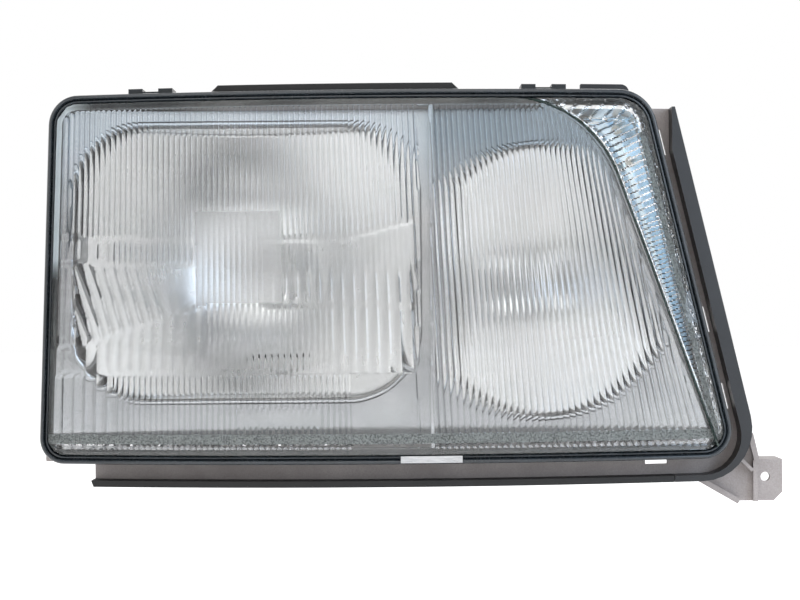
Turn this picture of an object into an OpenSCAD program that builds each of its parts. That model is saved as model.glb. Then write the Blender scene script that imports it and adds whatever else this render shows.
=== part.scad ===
// Car headlight, outer end on +X, glass towards -Y, +Z up.
// The origin is the middle of the hole in the lower fixing ear.

/* [Face of the lamp] */
// Width across the foot of the black frame
face_w = 395; // [370:1:480]
// Height of the black frame
face_h = 207; // [180:1:250]
// Lean of the outer end, in degrees
outer_lean = 13.8; // [8:0.1:16]
// Lean of the inner end, in degrees
inner_lean = 2.2; // [0:0.1:4]
// Radius of the glass seen from above
glass_r = 770; // [650:5:1500]
// Corner radius of the frame, lower inner
corner_bl = 14; // [12:0.5:20]
// Corner radius of the frame, lower outer
corner_br = 16; // [12:0.5:20]
// Corner radius of the frame, upper outer
corner_tr = 22; // [14:0.5:26]
// Corner radius of the frame, upper inner
corner_tl = 17; // [12:0.5:24]

/* [Glass and frame] */
// Thickness of the glass
glass_t = 3.5; // [2.5:0.1:4.5]
// Width of the frame outside the glass
frame_w = 5.1; // [4:0.1:8]
// Depth of the frame
frame_d = 18; // [14:0.5:24]
// Depth of the rim that runs back from the glass
glass_rim_d = 14; // [11:0.5:17]
// Thickness of the rim
glass_rim_t = 3; // [2:0.1:4]
// Thickness of the seal behind the glass
seal_t = 4; // [2:0.5:6]

/* [Housing] */
// Wall of the housing
wall = 2.5; // [2:0.1:3.5]
// Depth of the straight tray behind the ear
tray_back = 12; // [8:0.5:20]
// Reach of the flange past the frame
flange_reach = 13; // [11:0.5:18]
// Thickness of the flange
flange_t = 4; // [3:0.5:6]
// Width of the outer rail
rail_w = 7.5; // [5:0.5:8]
// Height of the lower rubber strip
strip_h = 3.5; // [2.5:0.5:6]
// How far the rail and strip stand ahead of the flange
rail_d = 14; // [8:0.5:18]

/* [Fixings] */
// Ear hole to the foot corner of the frame, sideways
ear_side = 19; // [16:0.5:26]
// Ear hole to the foot of the frame, upwards
ear_drop = 13; // [11:0.5:18]
// Ear hole to the front of the glass
ear_back = 57; // [50:0.5:70]
// Diameter of the ear hole
ear_hole = 5.4; // [4.5:0.1:6.5]
// Diameter of the holes in the upper tongues
tongue_hole = 6.5; // [5:0.1:8]
// Diameter of the locating pin
pin_dia = 8; // [6:0.5:10]

/* [Main reflector] */
// Focal length of the main bowl
main_f = 36; // [30:1:42]
// Height of the sill under the main reflector
sill_h = 34.7; // [25:0.1:45]
// Corner radius of the opening
main_corner = 40; // [25:1:50]
// Sideways and upward offset of the three ball points
ball_off = 50; // [46:1:54]

/* [Fog reflector] */
// Radius of the fog bowl
fog_r = 77; // [70:0.5:82]
// Focal length of the fog bowl
fog_f = 20; // [18:0.5:24]
// Divider to the foot corner of the frame
divider_at = 173; // [165:0.5:185]
// Fog lamp axis to the foot corner of the frame, sideways
fog_side_at = 111; // [105:0.5:120]
// Fog lamp axis above the foot of the frame
fog_up_at = 101; // [95:0.5:110]
// Lean of the line between fog lamp and corner
corner_lean = 20.3; // [17:0.1:22]
// Radius where that line bends to the top
corner_bend = 65; // [50:1:80]

/* [Aiming] */
// Radius of the ball studs' balls
ball_r = 5; // [4:0.25:6]
// Radius of the ball studs' shanks
shank_r = 3; // [2.5:0.1:3.5]
// Radius of the adjusting screws' barrels
barrel_r = 5; // [4.5:0.1:6]
// Radius of the adjusting knobs
knob_r = 11; // [9:0.5:12]

/* [Rear caps] */
// Outer radius of the main collar
main_collar_r = 50; // [46:0.5:52]
// Outer radius of the fog collar
fog_collar_r = 44; // [40:0.5:48]
// Height of the main cap behind its collar
main_cap_h = 41; // [38:0.5:50]
// Height of the fog cap behind its collar
fog_cap_h = 24; // [22:0.5:30]
// Turn that frees a cap, in degrees
cap_turn = 30; // [20:1:40]

/* [Hidden] */
$fn = 72;
eps = 0.01;
fine = 360;
arc_steps = 9;

// Clearances
run_gap = 0.1;
ball_gap = 0.35;
part_gap = 0.4;
swing_gap = 4;
turn_gap = 0.5;

// Where the face stands
face_right = -ear_side;
face_left = face_right - face_w;
base_z = ear_drop;
top_z = base_z + face_h;
mid_x = (face_left + face_right) / 2;
glass_y = -ear_back;
face_corners = [corner_bl, corner_br, corner_tr, corner_tl];

// Steps back from the front of the glass
frame_front = 2;
seal_d = glass_rim_d;
housing_d = seal_d + seal_t;
flange_d = frame_front + frame_d + 2;
flange_step = 0.6;
far_back = 200;

// Steps in from the outline of the frame
glass_in = frame_w + part_gap;
rim_in = glass_in + glass_rim_t;
tray_in = 6;
tray_inner = tray_in + wall;
mask_in = tray_inner + part_gap;
mask_t = 1.5;
mask_skirt = 8;
mask_inner = mask_in + mask_t;
mask_y = -24.5;

// Main reflector
skin = 2.5;
rim_y = -10;
bowl_extra = 15;
divider_x = face_right - divider_at;
divider_t = 2;
main_left = left_x((base_z + top_z) / 2) + mask_inner + swing_gap + skin;
main_right = divider_x - divider_t / 2 - swing_gap - skin;
main_hw = (main_right - main_left) / 2;
main_x = (main_left + main_right) / 2;
main_low = base_z + sill_h;
main_high = top_z - mask_inner - swing_gap - skin;
main_hh = (main_high - main_low) / 2;
main_z = (main_high + main_low) / 2;
main_bowl_r = main_hw + bowl_extra;
main_vertex = rim_y + bowl_depth(main_bowl_r, main_f);

// Fog reflector
fog_rim_y = -8;
fog_x = face_right - fog_side_at;
fog_z = base_z + fog_up_at;
fog_vertex = fog_rim_y + bowl_depth(fog_r, fog_f);
fog_left = divider_x + divider_t / 2 + swing_gap;
fog_ball_r = fog_r - 7;
fog_ball_side = fog_ball_r * 4 / 7;
fog_ball_drop = sqrt(pow(fog_ball_r, 2) - pow(fog_ball_side, 2));

// Line between fog lamp and corner
line_foot_x = face_right - 16.5;
line_top = top_z - 4.5;
corner_d = 6;
corner_floor_y = -4;
corner_t = 2;

// A wider face is bent less, so that its ends stay as far back
usual_w = 395;
bend_r = glass_r * pow(face_w / usual_w, 2);

// Aiming gear
socket_r = 7.5;
socket_l = 12;
lug_r = 9;
lug_l = 30;
knob_room = 8;
main_ball_off = max(ball_off, (main_collar_r + knob_r + knob_room) / sqrt(2));
main_ball_r = main_ball_off * sqrt(2);
main_ball_y = main_vertex - bowl_depth(main_ball_r - lug_r, main_f) + skin + 0.5 + socket_l / 2;
fog_ball_y = fog_vertex - bowl_depth(fog_ball_r - lug_r, fog_f) + skin + 0.5 + socket_l / 2;
boss_l = 12;
boss_wall = 4;
thread_l = 10;
barrel_in = 4;
knob_h = 12;

// Necks, bulbs and their springs
neck_l = 14;
main_neck_r = 24;
main_seat_r = 19.5;
fog_neck_r = 15;
fog_seat_r = 10.5;
main_neck_y = main_vertex - 3;
fog_neck_y = fog_vertex - 3;
main_seat_y = main_neck_y + neck_l;
fog_seat_y = fog_neck_y + neck_l;
bulb_flange_t = 1.6;
wire_r = 0.9;
bead_r = 1;
park_side = 14;
park_drop = 60;
park_boss_l = 10.5;
park_tail = 6;
park_rad = sqrt(pow(park_side, 2) + pow(park_drop, 2));
park_y = main_vertex - bowl_depth(park_rad, main_f);
park_seat_r = 7;

// Bells and collars of the housing
main_bell_r = main_hw + 11;
main_bell_end = main_ball_r + socket_r + swing_gap;
main_bell_y = main_vertex;
fog_bell_r = fog_r + 9;
fog_bell_end = fog_ball_r + socket_r + swing_gap;
fog_bell_y = fog_vertex;
collar_t = 4;
main_collar_l = 24;
fog_collar_l = 18;
lug_count = 3;
lug_w = 11;
groove_d = 1.6;
groove_w = 4;
gasket_t = 2.6;
cap_t = 2.5;

// Plug socket, breather, tongues and pin on the rear wall
plug_x = divider_x - 8;
plug_z = base_z + 20;
plug_w = 32;
plug_h = 22;
plug_l = 28;
pin_count = 6;
breather_x = face_right - 30;
breather_z = base_z + 22;
tongue_w = 26;
tongue_l = 28;
tongue_t = 4;
tongue_z = top_z - 7;
tongue_rib = 9;
tongue_xs = [face_left + 30, face_right - 92];
locator_x = face_left + 22;
locator_z = base_z + 20;
locator_l = 22;

// Ear
ear_w = 16.4;
ear_left = -6.6;
ear_high = 10;
ear_low = -13.7;
ear_t = 4;
ear_rib = 3;
ear_depth = 24;
ear_chamfer = 5;

// Leads inside the housing, by points chosen along their way
lead_r = 2;
lead_sides = 8;

function bowl_depth(r, f) = r * r / (4 * f);
function left_x(z, grow = 0) = face_left + (z - base_z) * tan(inner_lean) - grow / cos(inner_lean);
function right_x(z, grow = 0) = face_right - (z - base_z) * tan(outer_lean) + grow / cos(outer_lean);
function line_x(z, grow = 0) = line_foot_x - (z - base_z - 17) * tan(corner_lean) + grow / cos(corner_lean);
function unit(v) = v / norm(v);
function left_normal(v) = [-v[1], v[0]];
function before(p, i) = unit(p[i] - p[(i + len(p) - 1) % len(p)]);
function after(p, i) = unit(p[(i + 1) % len(p)] - p[i]);
function inward(p, i) =
    let (a = left_normal(before(p, i)), b = left_normal(after(p, i))) (a + b) / (1 + a * b);

// The four corners of the face, each side moved out by its own amount
function face_quad(l, r, b, t) = [
    [left_x(base_z - b, l), base_z - b],
    [right_x(base_z - b, r), base_z - b],
    [right_x(top_z + t, r), top_z + t],
    [left_x(top_z + t, l), top_z + t]
];

// Points of a polygon with round corners: each arc turns from one side's normal to the next
function turned_by(v, a) = [v[0] * cos(a) - v[1] * sin(a), v[0] * sin(a) + v[1] * cos(a)];
function round_corner(p, i, r) =
    let (c = p[i] + inward(p, i) * r, turn = acos(before(p, i) * after(p, i)))
    [for (k = [0:arc_steps]) c - r * turned_by(left_normal(before(p, i)), turn * k / arc_steps)];
module rounded(p, radii) {
    polygon([for (i = [0:len(p) - 1]) each round_corner(p, i, radii[i])]);
}

// Outline of the frame, stepped in by d
module outline(d) {
    rounded(face_quad(-d, -d, -d, -d), [for (r = face_corners) r - d]);
}

// Outline of the flange, which reaches past the frame at the foot and the outer end
module flange_outline(side, foot) {
    rounded(face_quad(-flange_step, side, foot, -flange_step),
        [corner_bl, corner_br + side, corner_tr / 2, corner_tl]);
}

// Everything on the fog lamp's side of the curved line
module fog_side(grow) {
    far = 600;
    rounded([
        [fog_x - far, base_z - far],
        [line_x(base_z - far, grow), base_z - far],
        [line_x(line_top + grow, grow), line_top + grow],
        [fog_x - far, line_top + grow]
    ], [1, 1, corner_bend + grow, 1]);
}

// Stands a flat shape up and gives it depth from y0 back to y1
module upright(y0, y1) {
    translate([0, y1, 0]) rotate([90, 0, 0]) linear_extrude(y1 - y0) children();
}

// All that lies more than d behind the front of the glass
module behind(d) {
    translate([mid_x, glass_y + bend_r, base_z - 150])
        cylinder(r = bend_r - d, h = face_h + 300, $fn = fine);
}

// A flat shape bent to the curve of the glass, from d0 to d1 behind its front
module curved(d0, d1) {
    difference() {
        intersection() {
            upright(glass_y - 5, 60) children();
            behind(d0);
        }
        behind(d1);
    }
}

// A rod along Y
module rod(x, z, y0, y1, r, r_end = -1) {
    translate([x, y0, z]) rotate([-90, 0, 0])
        cylinder(r1 = r, r2 = r_end < 0 ? r : r_end, h = y1 - y0);
}

// A profile of radius and depth turned about an axis along Y
module turned(x, z) {
    translate([x, 0, z]) rotate([-90, 0, 0]) rotate_extrude() children();
}

// Holds children at even angles about an axis along Y
module around(x, z, count, start = 0) {
    for (i = [0:count - 1])
        translate([x, 0, z]) rotate([0, start + i * 360 / count, 0]) children();
}

module block(lo, hi) {
    translate(lo) cube(hi - lo);
}

// Space in front of a bowl: its profile follows the parabola in steps
module bowl(x, z, f, vertex, r) {
    steps = 14;
    turned(x, z) polygon([
        for (i = [0:steps]) let (q = r * i / steps) [q, vertex - bowl_depth(q, f)],
        [0, vertex - bowl_depth(r, f)]
    ]);
}

// Opening of the main reflector, stepped out by grow
module main_opening(grow = 0) {
    w = main_hw + grow;
    h = main_hh + grow;
    translate([main_x, main_z]) rounded(
        [[-w, -h], [w, -h], [w, h], [-w, h]], [for (i = [0:3]) main_corner + grow]);
}

// Opening of the fog reflector, stepped out by grow
module fog_opening(grow = 0) {
    reach = fog_r + 2 * skin;
    intersection() {
        fog_side(-corner_t - swing_gap - skin + grow);
        translate([fog_left + skin - grow, fog_z - reach]) square([2 * reach, 2 * reach]);
        translate([fog_x, fog_z]) circle(fog_r + grow);
    }
}

// Fluted cover glass with its rim
module lens() {
    color([0.86, 0.92, 0.93, 0.5]) {
        curved(0, glass_t) outline(glass_in);
        curved(glass_t - eps, glass_rim_d) difference() {
            outline(glass_in);
            outline(rim_in);
        }
    }
}

// Soft seal that the rim of the glass presses on
module lens_seal() {
    color([0.12, 0.12, 0.12]) curved(seal_d, housing_d) difference() {
        outline(glass_in);
        outline(rim_in);
    }
}

// Black frame round the glass
module lens_frame() {
    color([0.16, 0.19, 0.21]) curved(frame_front, frame_front + frame_d) difference() {
        outline(0);
        outline(frame_w);
    }
}

// One spring clip: a band over the frame with a raised block at each end
module clip(x, z, w, up) {
    band = 1;
    block_w = 8;
    block_h = 2.7;
    curved(6, flange_d + flange_t) {
        translate([x - w / 2, up > 0 ? z : z - band]) square([w, band]);
        for (s = [0, w - block_w])
            translate([x - w / 2 + s, up > 0 ? z : z - block_h]) square([block_w, block_h]);
    }
}

clip_w = 25;
foot_clip_w = 34;
clip_xs = [face_left + 66, face_right - 110];
foot_clip_x = face_right - 174;

// Spring clips that pull the frame onto the housing
module lens_clips() {
    color([0.55, 0.57, 0.58]) {
        for (x = clip_xs) clip(x, top_z + eps, clip_w, 1);
        curved(frame_front - 1, frame_front)
            translate([foot_clip_x - foot_clip_w / 2, base_z + 0.8]) square([foot_clip_w, 3.8]);
    }
}

// Rubber bulb strip along the top of the frame, with sloping ends
module top_seal() {
    x0 = face_left + 100;
    x1 = face_left + 238;
    h = 3.8;
    slope = 4;
    color([0.1, 0.1, 0.11]) curved(8, frame_front + frame_d)
        polygon([[x0, top_z + eps], [x1, top_z + eps], [x1 - slope, top_z + h], [x0 + slope, top_z + h]]);
}

rail_top = top_z - 9;
strip_left = face_left + 32;
joint_x = face_right - 37;

// Band at the outer edge of the flange that carries the rail and the strip
module rail_band() {
    difference() {
        flange_outline(flange_reach, flange_reach);
        flange_outline(flange_reach - rail_w, flange_reach - strip_h);
    }
}

// Rail down the outer end, swept round the lower corner
module side_rail() {
    color([0.22, 0.22, 0.23]) curved(flange_d - rail_d, flange_d) intersection() {
        rail_band();
        translate([joint_x, base_z - 60]) square([face_w, rail_top - base_z + 60]);
    }
}

// Rubber strip under the foot of the lamp, with a sloping end
module bottom_seal() {
    color([0.07, 0.07, 0.07]) curved(flange_d - rail_d, flange_d) intersection() {
        rail_band();
        polygon([
            [strip_left - 6, base_z],
            [strip_left + 4, base_z - 2 * flange_reach],
            [joint_x - part_gap, base_z - 2 * flange_reach],
            [joint_x - part_gap, base_z]
        ]);
    }
}

slot_w = 3;
slot_edge = 0.8;
slot_h = 14.6;
slot_zs = [base_z + 34, base_z + 78, base_z + 179];
foot_slot_x = face_right - 46;
foot_slot_w = 13;

// Slots through the flange, close beside the frame
module flange_slots() {
    intersection() {
        difference() {
            flange_outline(slot_edge + slot_w, slot_edge + slot_w);
            flange_outline(slot_edge, slot_edge);
        }
        union() {
            for (z = slot_zs) translate([face_right - 100, z - slot_h / 2]) square([160, slot_h]);
            translate([foot_slot_x - foot_slot_w / 2, base_z - 30]) square([foot_slot_w, 60]);
        }
    }
}

// Flange of the housing, with a stepped tab over the upper corner
module flange() {
    tab_l = face_right - 88;
    tab_r = face_right - 60;
    tab_h = 4.6;
    curved(flange_d, flange_d + flange_t) difference() {
        union() {
            difference() {
                flange_outline(flange_reach, flange_reach);
                translate([face_left - 20, base_z - 60])
                    square([strip_left - face_left + 18, 60]);
                translate([face_right - 90, rail_top]) square([160, 60]);
            }
            outline(flange_step / 2);
            rounded([[tab_l, top_z - 3], [tab_r, top_z - 3], [tab_r, top_z + tab_h], [tab_l, top_z + tab_h]],
                [0.5, 0.5, tab_h, 0.5]);
        }
        outline(tray_inner);
        flange_slots();
    }
}

// The block that the housing fills, stepped in by d
module housing_block(d, floor) {
    intersection() {
        upright(glass_y, far_back) outline(d);
        union() {
            intersection() {
                behind(housing_d);
                upright(glass_y, tray_back - floor) outline(d);
            }
            rod(main_x, main_z, tray_back - floor - eps, main_bell_y - floor,
                main_bell_r - floor, main_bell_end - floor);
            rod(fog_x, fog_z, tray_back - floor - eps, fog_bell_y - floor,
                fog_bell_r - floor, fog_bell_end - floor);
        }
    }
}

// Collar with the groove and the entry slots of a turn-lock cap
module collar(x, z, y, r, l) {
    groove_y = y + l - 9;
    difference() {
        rod(x, z, y - 3, y + l, r);
        turned(x, z) translate([r - groove_d, groove_y]) square([2 * groove_d, groove_w]);
        around(x, z, lug_count, cap_turn)
            block([-lug_w / 2 - 1.5, groove_y, r - groove_d], [lug_w / 2 + 1.5, y + l + 1, r + 5]);
    }
}

// Boss on the rear wall for an adjusting screw or a pivot
module screw_boss(p, y) {
    rod(p[0], p[1], y - wall, y + boss_l, barrel_r + boss_wall);
}

// A tongue at the top of the housing
module tongue(x) {
    block([x - tongue_w / 2, tray_back - wall, tongue_z - tongue_t],
        [x + tongue_w / 2, tray_back + tongue_l, tongue_z]);
    for (s = [-tongue_w / 2, tongue_w / 2 - ear_rib])
        translate([x + s, 0, 0]) rotate([90, 0, 90]) linear_extrude(ear_rib) polygon([
            [tray_back - 1, tongue_z - tongue_t - tongue_rib],
            [tray_back + tongue_l, tongue_z - tongue_t + eps],
            [tray_back - 1, tongue_z - tongue_t + eps]
        ]);
}

function main_balls() = [
    [main_x + main_ball_off, main_z + main_ball_off],
    [main_x - main_ball_off, main_z - main_ball_off],
    [main_x + main_ball_off, main_z - main_ball_off]
];
function fog_balls() = [
    [fog_x, fog_z + fog_ball_r],
    [fog_x - fog_ball_side, fog_z - fog_ball_drop],
    [fog_x + fog_ball_side, fog_z - fog_ball_drop]
];

// Ear with its gusset and ribs
module ear() {
    right = ear_left + ear_w;
    rib_back = flange_d + glass_y + bowl_depth(face_w / 2, bend_r / 2) + flange_t;
    gusset = [
        [-44, 2.5], [ear_left - 9.5, ear_low], [ear_left + 1, ear_low],
        [ear_left + 1, ear_high], [ear_left - 2.5, ear_high + 15], [-30, 16]
    ];
    upright(-ear_t / 2, ear_t / 2) polygon([
        [ear_left, ear_low], [right - ear_chamfer, ear_low],
        [right, ear_low + ear_chamfer], [right, ear_high], [ear_left, ear_high]
    ]);
    upright(-ear_t / 2, ear_t / 2 - 1.5) polygon(gusset);
    block([ear_left, -ear_t / 2, ear_high - 2], [right, ear_depth - ear_t / 2, ear_high]);
    block([ear_left - 1, -ear_t / 2 - 4, ear_low], [ear_left + 1.6, ear_depth / 2, ear_high]);
    for (i = [[0, 1], [3, 4]])
        upright(-7, 8) slat(gusset[i[0]], gusset[i[1]], ear_rib);
    upright(-7, 8) slat([-17, 13], [-8, 4], ear_rib - 1);
}

// A bar of width w between two points
module slat(a, b, w) {
    n = left_normal(unit(b - a)) * w / 2;
    polygon([a - n, b - n, b + n, a + n]);
}

// Moulded housing: tray, two bells, collars, flange, ear, tongues and bosses
module housing() {
    color([0.56, 0.53, 0.53]) difference() {
        union() {
            difference() {
                union() {
                    housing_block(tray_in, 0);
                    collar(main_x, main_z, main_bell_y, main_collar_r, main_collar_l);
                    collar(fog_x, fog_z, fog_bell_y, fog_collar_r, fog_collar_l);
                    for (p = main_balls()) screw_boss(p, main_bell_y);
                    for (p = fog_balls()) screw_boss(p, fog_bell_y);
                }
                housing_block(tray_inner, wall);
                rod(main_x, main_z, tray_back, far_back, main_collar_r - collar_t);
                rod(fog_x, fog_z, tray_back, far_back, fog_collar_r - collar_t);
            }
            flange();
            curved(housing_d, flange_d + eps) difference() {
                outline(glass_in);
                outline(tray_inner);
            }
            ear();
            for (x = tongue_xs) tongue(x);
            rod(locator_x, locator_z, tray_back - 1, tray_back + locator_l, pin_dia / 2);
            rod(breather_x, breather_z, tray_back - 1, tray_back + 8, 6);
        }
        rod(0, 0, -20, 40, ear_hole / 2);
        for (x = tongue_xs)
            translate([x, tray_back + tongue_l - 11, tongue_z - 30]) cylinder(d = tongue_hole, h = 60);
        for (p = [main_balls()[0], main_balls()[1], fog_balls()[0]])
            rod(p[0], p[1], fog_bell_y - 2 * wall, far_back, barrel_r + run_gap);
        for (p = [main_balls()[2], fog_balls()[1], fog_balls()[2]])
            rod(p[0], p[1], fog_bell_y - 2 * wall, far_back, shank_r + run_gap);
        rod(breather_x, breather_z, 0, far_back, 3);
        block([plug_x - plug_w / 2 + 4, 0, plug_z - plug_h / 2 + 4],
            [plug_x + plug_w / 2 - 4, 30, plug_z + plug_h / 2 - 4]);
    }
}

// Painted inner mask: a plate with openings for the reflectors and a divider
module inner_mask() {
    color([0.62, 0.66, 0.68]) {
        difference() {
            upright(mask_y - mask_t, mask_y) difference() {
                outline(mask_in);
                main_opening();
                fog_opening();
                corner_region(-part_gap);
            }
        }
        upright(mask_y - eps, mask_y + mask_skirt) difference() {
            outline(mask_in);
            outline(mask_inner);
            corner_region(-part_gap);
        }
        intersection() {
            behind(glass_t + 1.5);
            block([divider_x - divider_t / 2, glass_y, base_z + mask_in],
                [divider_x + divider_t / 2, mask_y, top_z - mask_in]);
            upright(glass_y, 0) outline(mask_in);
        }
    }
}

// Space between the curved line and the outer end, stepped in by d
module corner_region(d) {
    difference() {
        outline(mask_in + d);
        fog_side(d);
    }
}

// Silvered corner reflector behind the outer prisms
module corner_reflector() {
    color([0.82, 0.88, 0.92]) {
        intersection() {
            behind(corner_d);
            upright(glass_y, corner_floor_y) difference() {
                corner_region(0);
                corner_region(corner_t);
            }
        }
        upright(corner_floor_y - corner_t, corner_floor_y) corner_region(0);
    }
}

corner_screw_at = [[right_x(top_z - 13) - 20, top_z - 15], [right_x(top_z - 33) - 17, top_z - 34]];

// Two screws that hold the corner reflector
module corner_screws() {
    color([0.45, 0.46, 0.48]) for (p = corner_screw_at) difference() {
        union() {
            rod(p[0], p[1], corner_floor_y - corner_t - 2.2, corner_floor_y - corner_t, 3.2);
            rod(p[0], p[1], corner_floor_y + eps, corner_floor_y + 6, 1.4);
        }
        block([p[0] - 2.2, corner_floor_y - corner_t - 3, p[1] - 0.4],
            [p[0] + 2.2, corner_floor_y - corner_t - 1.4, p[1] + 0.4]);
    }
}

// Main reflector: bowl with flat top and foot, neck for the bulb and three lugs
module main_reflector() {
    color([0.85, 0.86, 0.87]) difference() {
        union() {
            intersection() {
                upright(rim_y, far_back) main_opening(skin);
                bowl(main_x, main_z, main_f, main_vertex + skin, 1.5 * main_bowl_r);
            }
            for (p = main_balls())
                rod(p[0], p[1], main_ball_y - socket_l / 2 - lug_l, main_ball_y - socket_l / 2, lug_r);
            rod(main_x, main_z, main_neck_y - 4, main_seat_y, main_neck_r);
            rod(main_x + park_side, main_z - park_drop, park_y - 8, park_y + park_boss_l, park_seat_r + 2.5);
        }
        intersection() {
            upright(rim_y - 1, far_back) main_opening();
            bowl(main_x, main_z, main_f, main_vertex, 1.5 * main_bowl_r);
        }
        rod(main_x, main_z, rim_y, far_back, main_seat_r);
        rod(main_x + park_side, main_z - park_drop, rim_y, far_back, park_seat_r);
    }
}

// A ball socket, open to the rear for the stud's shank
module ball_socket(p, y) {
    difference() {
        rod(p[0], p[1], y - socket_l / 2, y + socket_l / 2, socket_r);
        translate([p[0], y, p[1]]) sphere(ball_r + ball_gap);
        rod(p[0], p[1], y, y + socket_l, ball_r - 0.6);
    }
}

// Three sockets on the main reflector
module ball_sockets() {
    color([0.9, 0.89, 0.84]) for (p = main_balls()) ball_socket(p, main_ball_y);
}

// Three sockets on the fog reflector
module fog_sockets() {
    color([0.9, 0.89, 0.84]) for (p = fog_balls()) ball_socket(p, fog_ball_y);
}

// A ball with its shank, which reaches back to a given depth
module ball_stud(p, y, back) {
    translate([p[0], y, p[1]]) sphere(ball_r);
    rod(p[0], p[1], y + ball_r - 1, back, shank_r);
}

module height_stud() {
    color("silver") ball_stud(main_balls()[0], main_ball_y, main_bell_y + thread_l);
}

module side_stud() {
    color("silver") ball_stud(main_balls()[1], main_ball_y, main_bell_y + thread_l);
}

module fog_stud() {
    color("silver") ball_stud(fog_balls()[0], fog_ball_y, fog_bell_y + thread_l);
}

// Ball of the fixed pivot; the main reflector swings and tilts on it
module pivot_ball() {
    p = main_balls()[2];
    color("silver") translate([p[0], main_ball_y, p[1]]) sphere(ball_r);
}

// Shank of the fixed pivot, with a hollow end that the ball sits in
module pivot_stud() {
    p = main_balls()[2];
    color("silver") difference() {
        rod(p[0], p[1], main_ball_y + ball_r - 1, main_bell_y + boss_l, shank_r);
        translate([p[0], main_ball_y, p[1]]) sphere(ball_r + run_gap);
    }
}

// Two fixed pivots under the fog reflector
module fog_pivot_studs() {
    color("silver") for (i = [1, 2]) ball_stud(fog_balls()[i], fog_ball_y, fog_bell_y + boss_l);
}

// Adjusting screw: a hollow barrel through its boss, with a fluted knob
module knob(p, bell_y) {
    y_head = bell_y + boss_l + part_gap;
    grips = 10;
    grip_r = 2.2;
    hex_r = 3.5;
    difference() {
        union() {
            rod(p[0], p[1], bell_y - barrel_in, y_head + eps, barrel_r);
            rod(p[0], p[1], y_head, y_head + knob_h, knob_r);
        }
        around(p[0], p[1], grips) translate([knob_r + 0.6, 0, 0]) rod(0, 0, 0, far_back, grip_r);
        rod(p[0], p[1], bell_y - 2 * barrel_in, y_head + 4, shank_r + run_gap);
        translate([p[0], y_head + knob_h - 4, p[1]]) rotate([-90, 0, 0])
            cylinder(r = hex_r, h = 5, $fn = 6);
    }
}

module height_knob() {
    color([0.93, 0.92, 0.88]) knob(main_balls()[0], main_bell_y);
}

module side_knob() {
    color([0.93, 0.92, 0.88]) knob(main_balls()[1], main_bell_y);
}

module fog_knob() {
    color([0.93, 0.92, 0.88]) knob(fog_balls()[0], fog_bell_y);
}

h4_tab = 7;
h4_barrel = 14;

// Base of the main bulb: shell in the neck, flange, barrel and three blades
module bulb_base() {
    y = main_seat_y;
    color([0.72, 0.73, 0.74]) {
        rod(main_x, main_z, y - 6, y + eps, main_seat_r - 1);
        rod(main_x, main_z, y, y + bulb_flange_t, main_neck_r - 2);
        rod(main_x, main_z, y + bulb_flange_t - eps, y + h4_barrel, 12);
        for (a = [0, 90, 180])
            translate([main_x, y + h4_barrel - eps, main_z]) rotate([0, a, 0])
                block([-4, 0, 6.2], [4, h4_tab, 7]);
    }
}

// Glass capsule of the main bulb, with a domed tip
module bulb_glass() {
    r = 8.5;
    y0 = main_seat_y - 6 - part_gap;
    l = 44;
    color([0.95, 0.96, 0.97, 0.5]) turned(main_x, main_z) intersection() {
        union() {
            translate([0, y0 - l + r]) square([r, l - r]);
            translate([0, y0 - l + r]) circle(r);
        }
        translate([0, y0 - l - 1]) square([r + 1, l + 1]);
    }
}

// Push-on connector over the three blades
module bulb_connector() {
    y = main_seat_y + h4_barrel + part_gap;
    color([0.13, 0.13, 0.14]) difference() {
        block([main_x - 13, y, main_z - 10], [main_x + 13, y + 18, main_z + 11]);
        for (a = [0, 90, 180])
            translate([main_x, y - 1, main_z]) rotate([0, a, 0])
                block([-4.4, 0, 5.8], [4.4, h4_tab + 2, 7.4]);
    }
}

// A wire across: one straight length of round wire between two points
module wire(a, b) {
    d = b - a;
    translate(a) rotate([0, acos(d[2] / norm(d)), atan2(d[1], d[0])])
        cylinder(r = wire_r, h = norm(d), $fn = 48);
    translate(b) sphere(bead_r, $fn = 48);
}

module wire_path(p) {
    translate(p[0]) sphere(bead_r, $fn = 48);
    for (i = [0:len(p) - 2]) wire(p[i], p[i + 1]);
}

// Retaining spring: a wire bail hinged below the neck, its legs over the flange
module bail(x, z, y, half, foot, head) {
    wire_path([
        [x - half, y - 1, z + head], [x - half, y, z + head - 3],
        [x - half, y, z - foot], [x + half, y, z - foot],
        [x + half, y, z + head - 3], [x + half, y - 1, z + head]
    ]);
}

main_bail_y = main_seat_y + bulb_flange_t + wire_r + part_gap;
fog_bail_y = fog_seat_y + bulb_flange_t + wire_r + part_gap;
main_bail_half = 16;
main_bail_foot = 27;
main_bail_head = 21;
fog_bail_half = 10.5;
fog_bail_foot = 18;
fog_bail_head = 13;

module bulb_spring() {
    color("silver")
        bail(main_x, main_z, main_bail_y, main_bail_half, main_bail_foot, main_bail_head);
}

module fog_spring() {
    color("silver")
        bail(fog_x, fog_z, fog_bail_y, fog_bail_half, fog_bail_foot, fog_bail_head);
}

// Holder of the parking bulb, pushed into the bowl from behind
module parking_holder() {
    x = main_x + park_side;
    z = main_z - park_drop;
    color([0.2, 0.2, 0.21]) {
        rod(x, z, park_y + 2, park_y + park_boss_l + part_gap, park_seat_r - 0.5);
        rod(x, z, park_y + park_boss_l + part_gap, park_y + park_boss_l + 2.5, park_seat_r + 2.5);
        rod(x, z, park_y + park_boss_l + 2, park_y + park_boss_l + park_tail, park_seat_r - 1.5);
    }
}

// Parking bulb
module parking_bulb() {
    r = 4.2;
    l = 16;
    color([0.95, 0.95, 0.9, 0.6]) turned(main_x + park_side, main_z - park_drop) intersection() {
        union() {
            translate([0, park_y + 2 - l + r]) square([r, l - r]);
            translate([0, park_y + 2 - l + r]) circle(r);
        }
        translate([0, park_y - l]) square([r + 1, l + 2 - part_gap]);
    }
}

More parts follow.
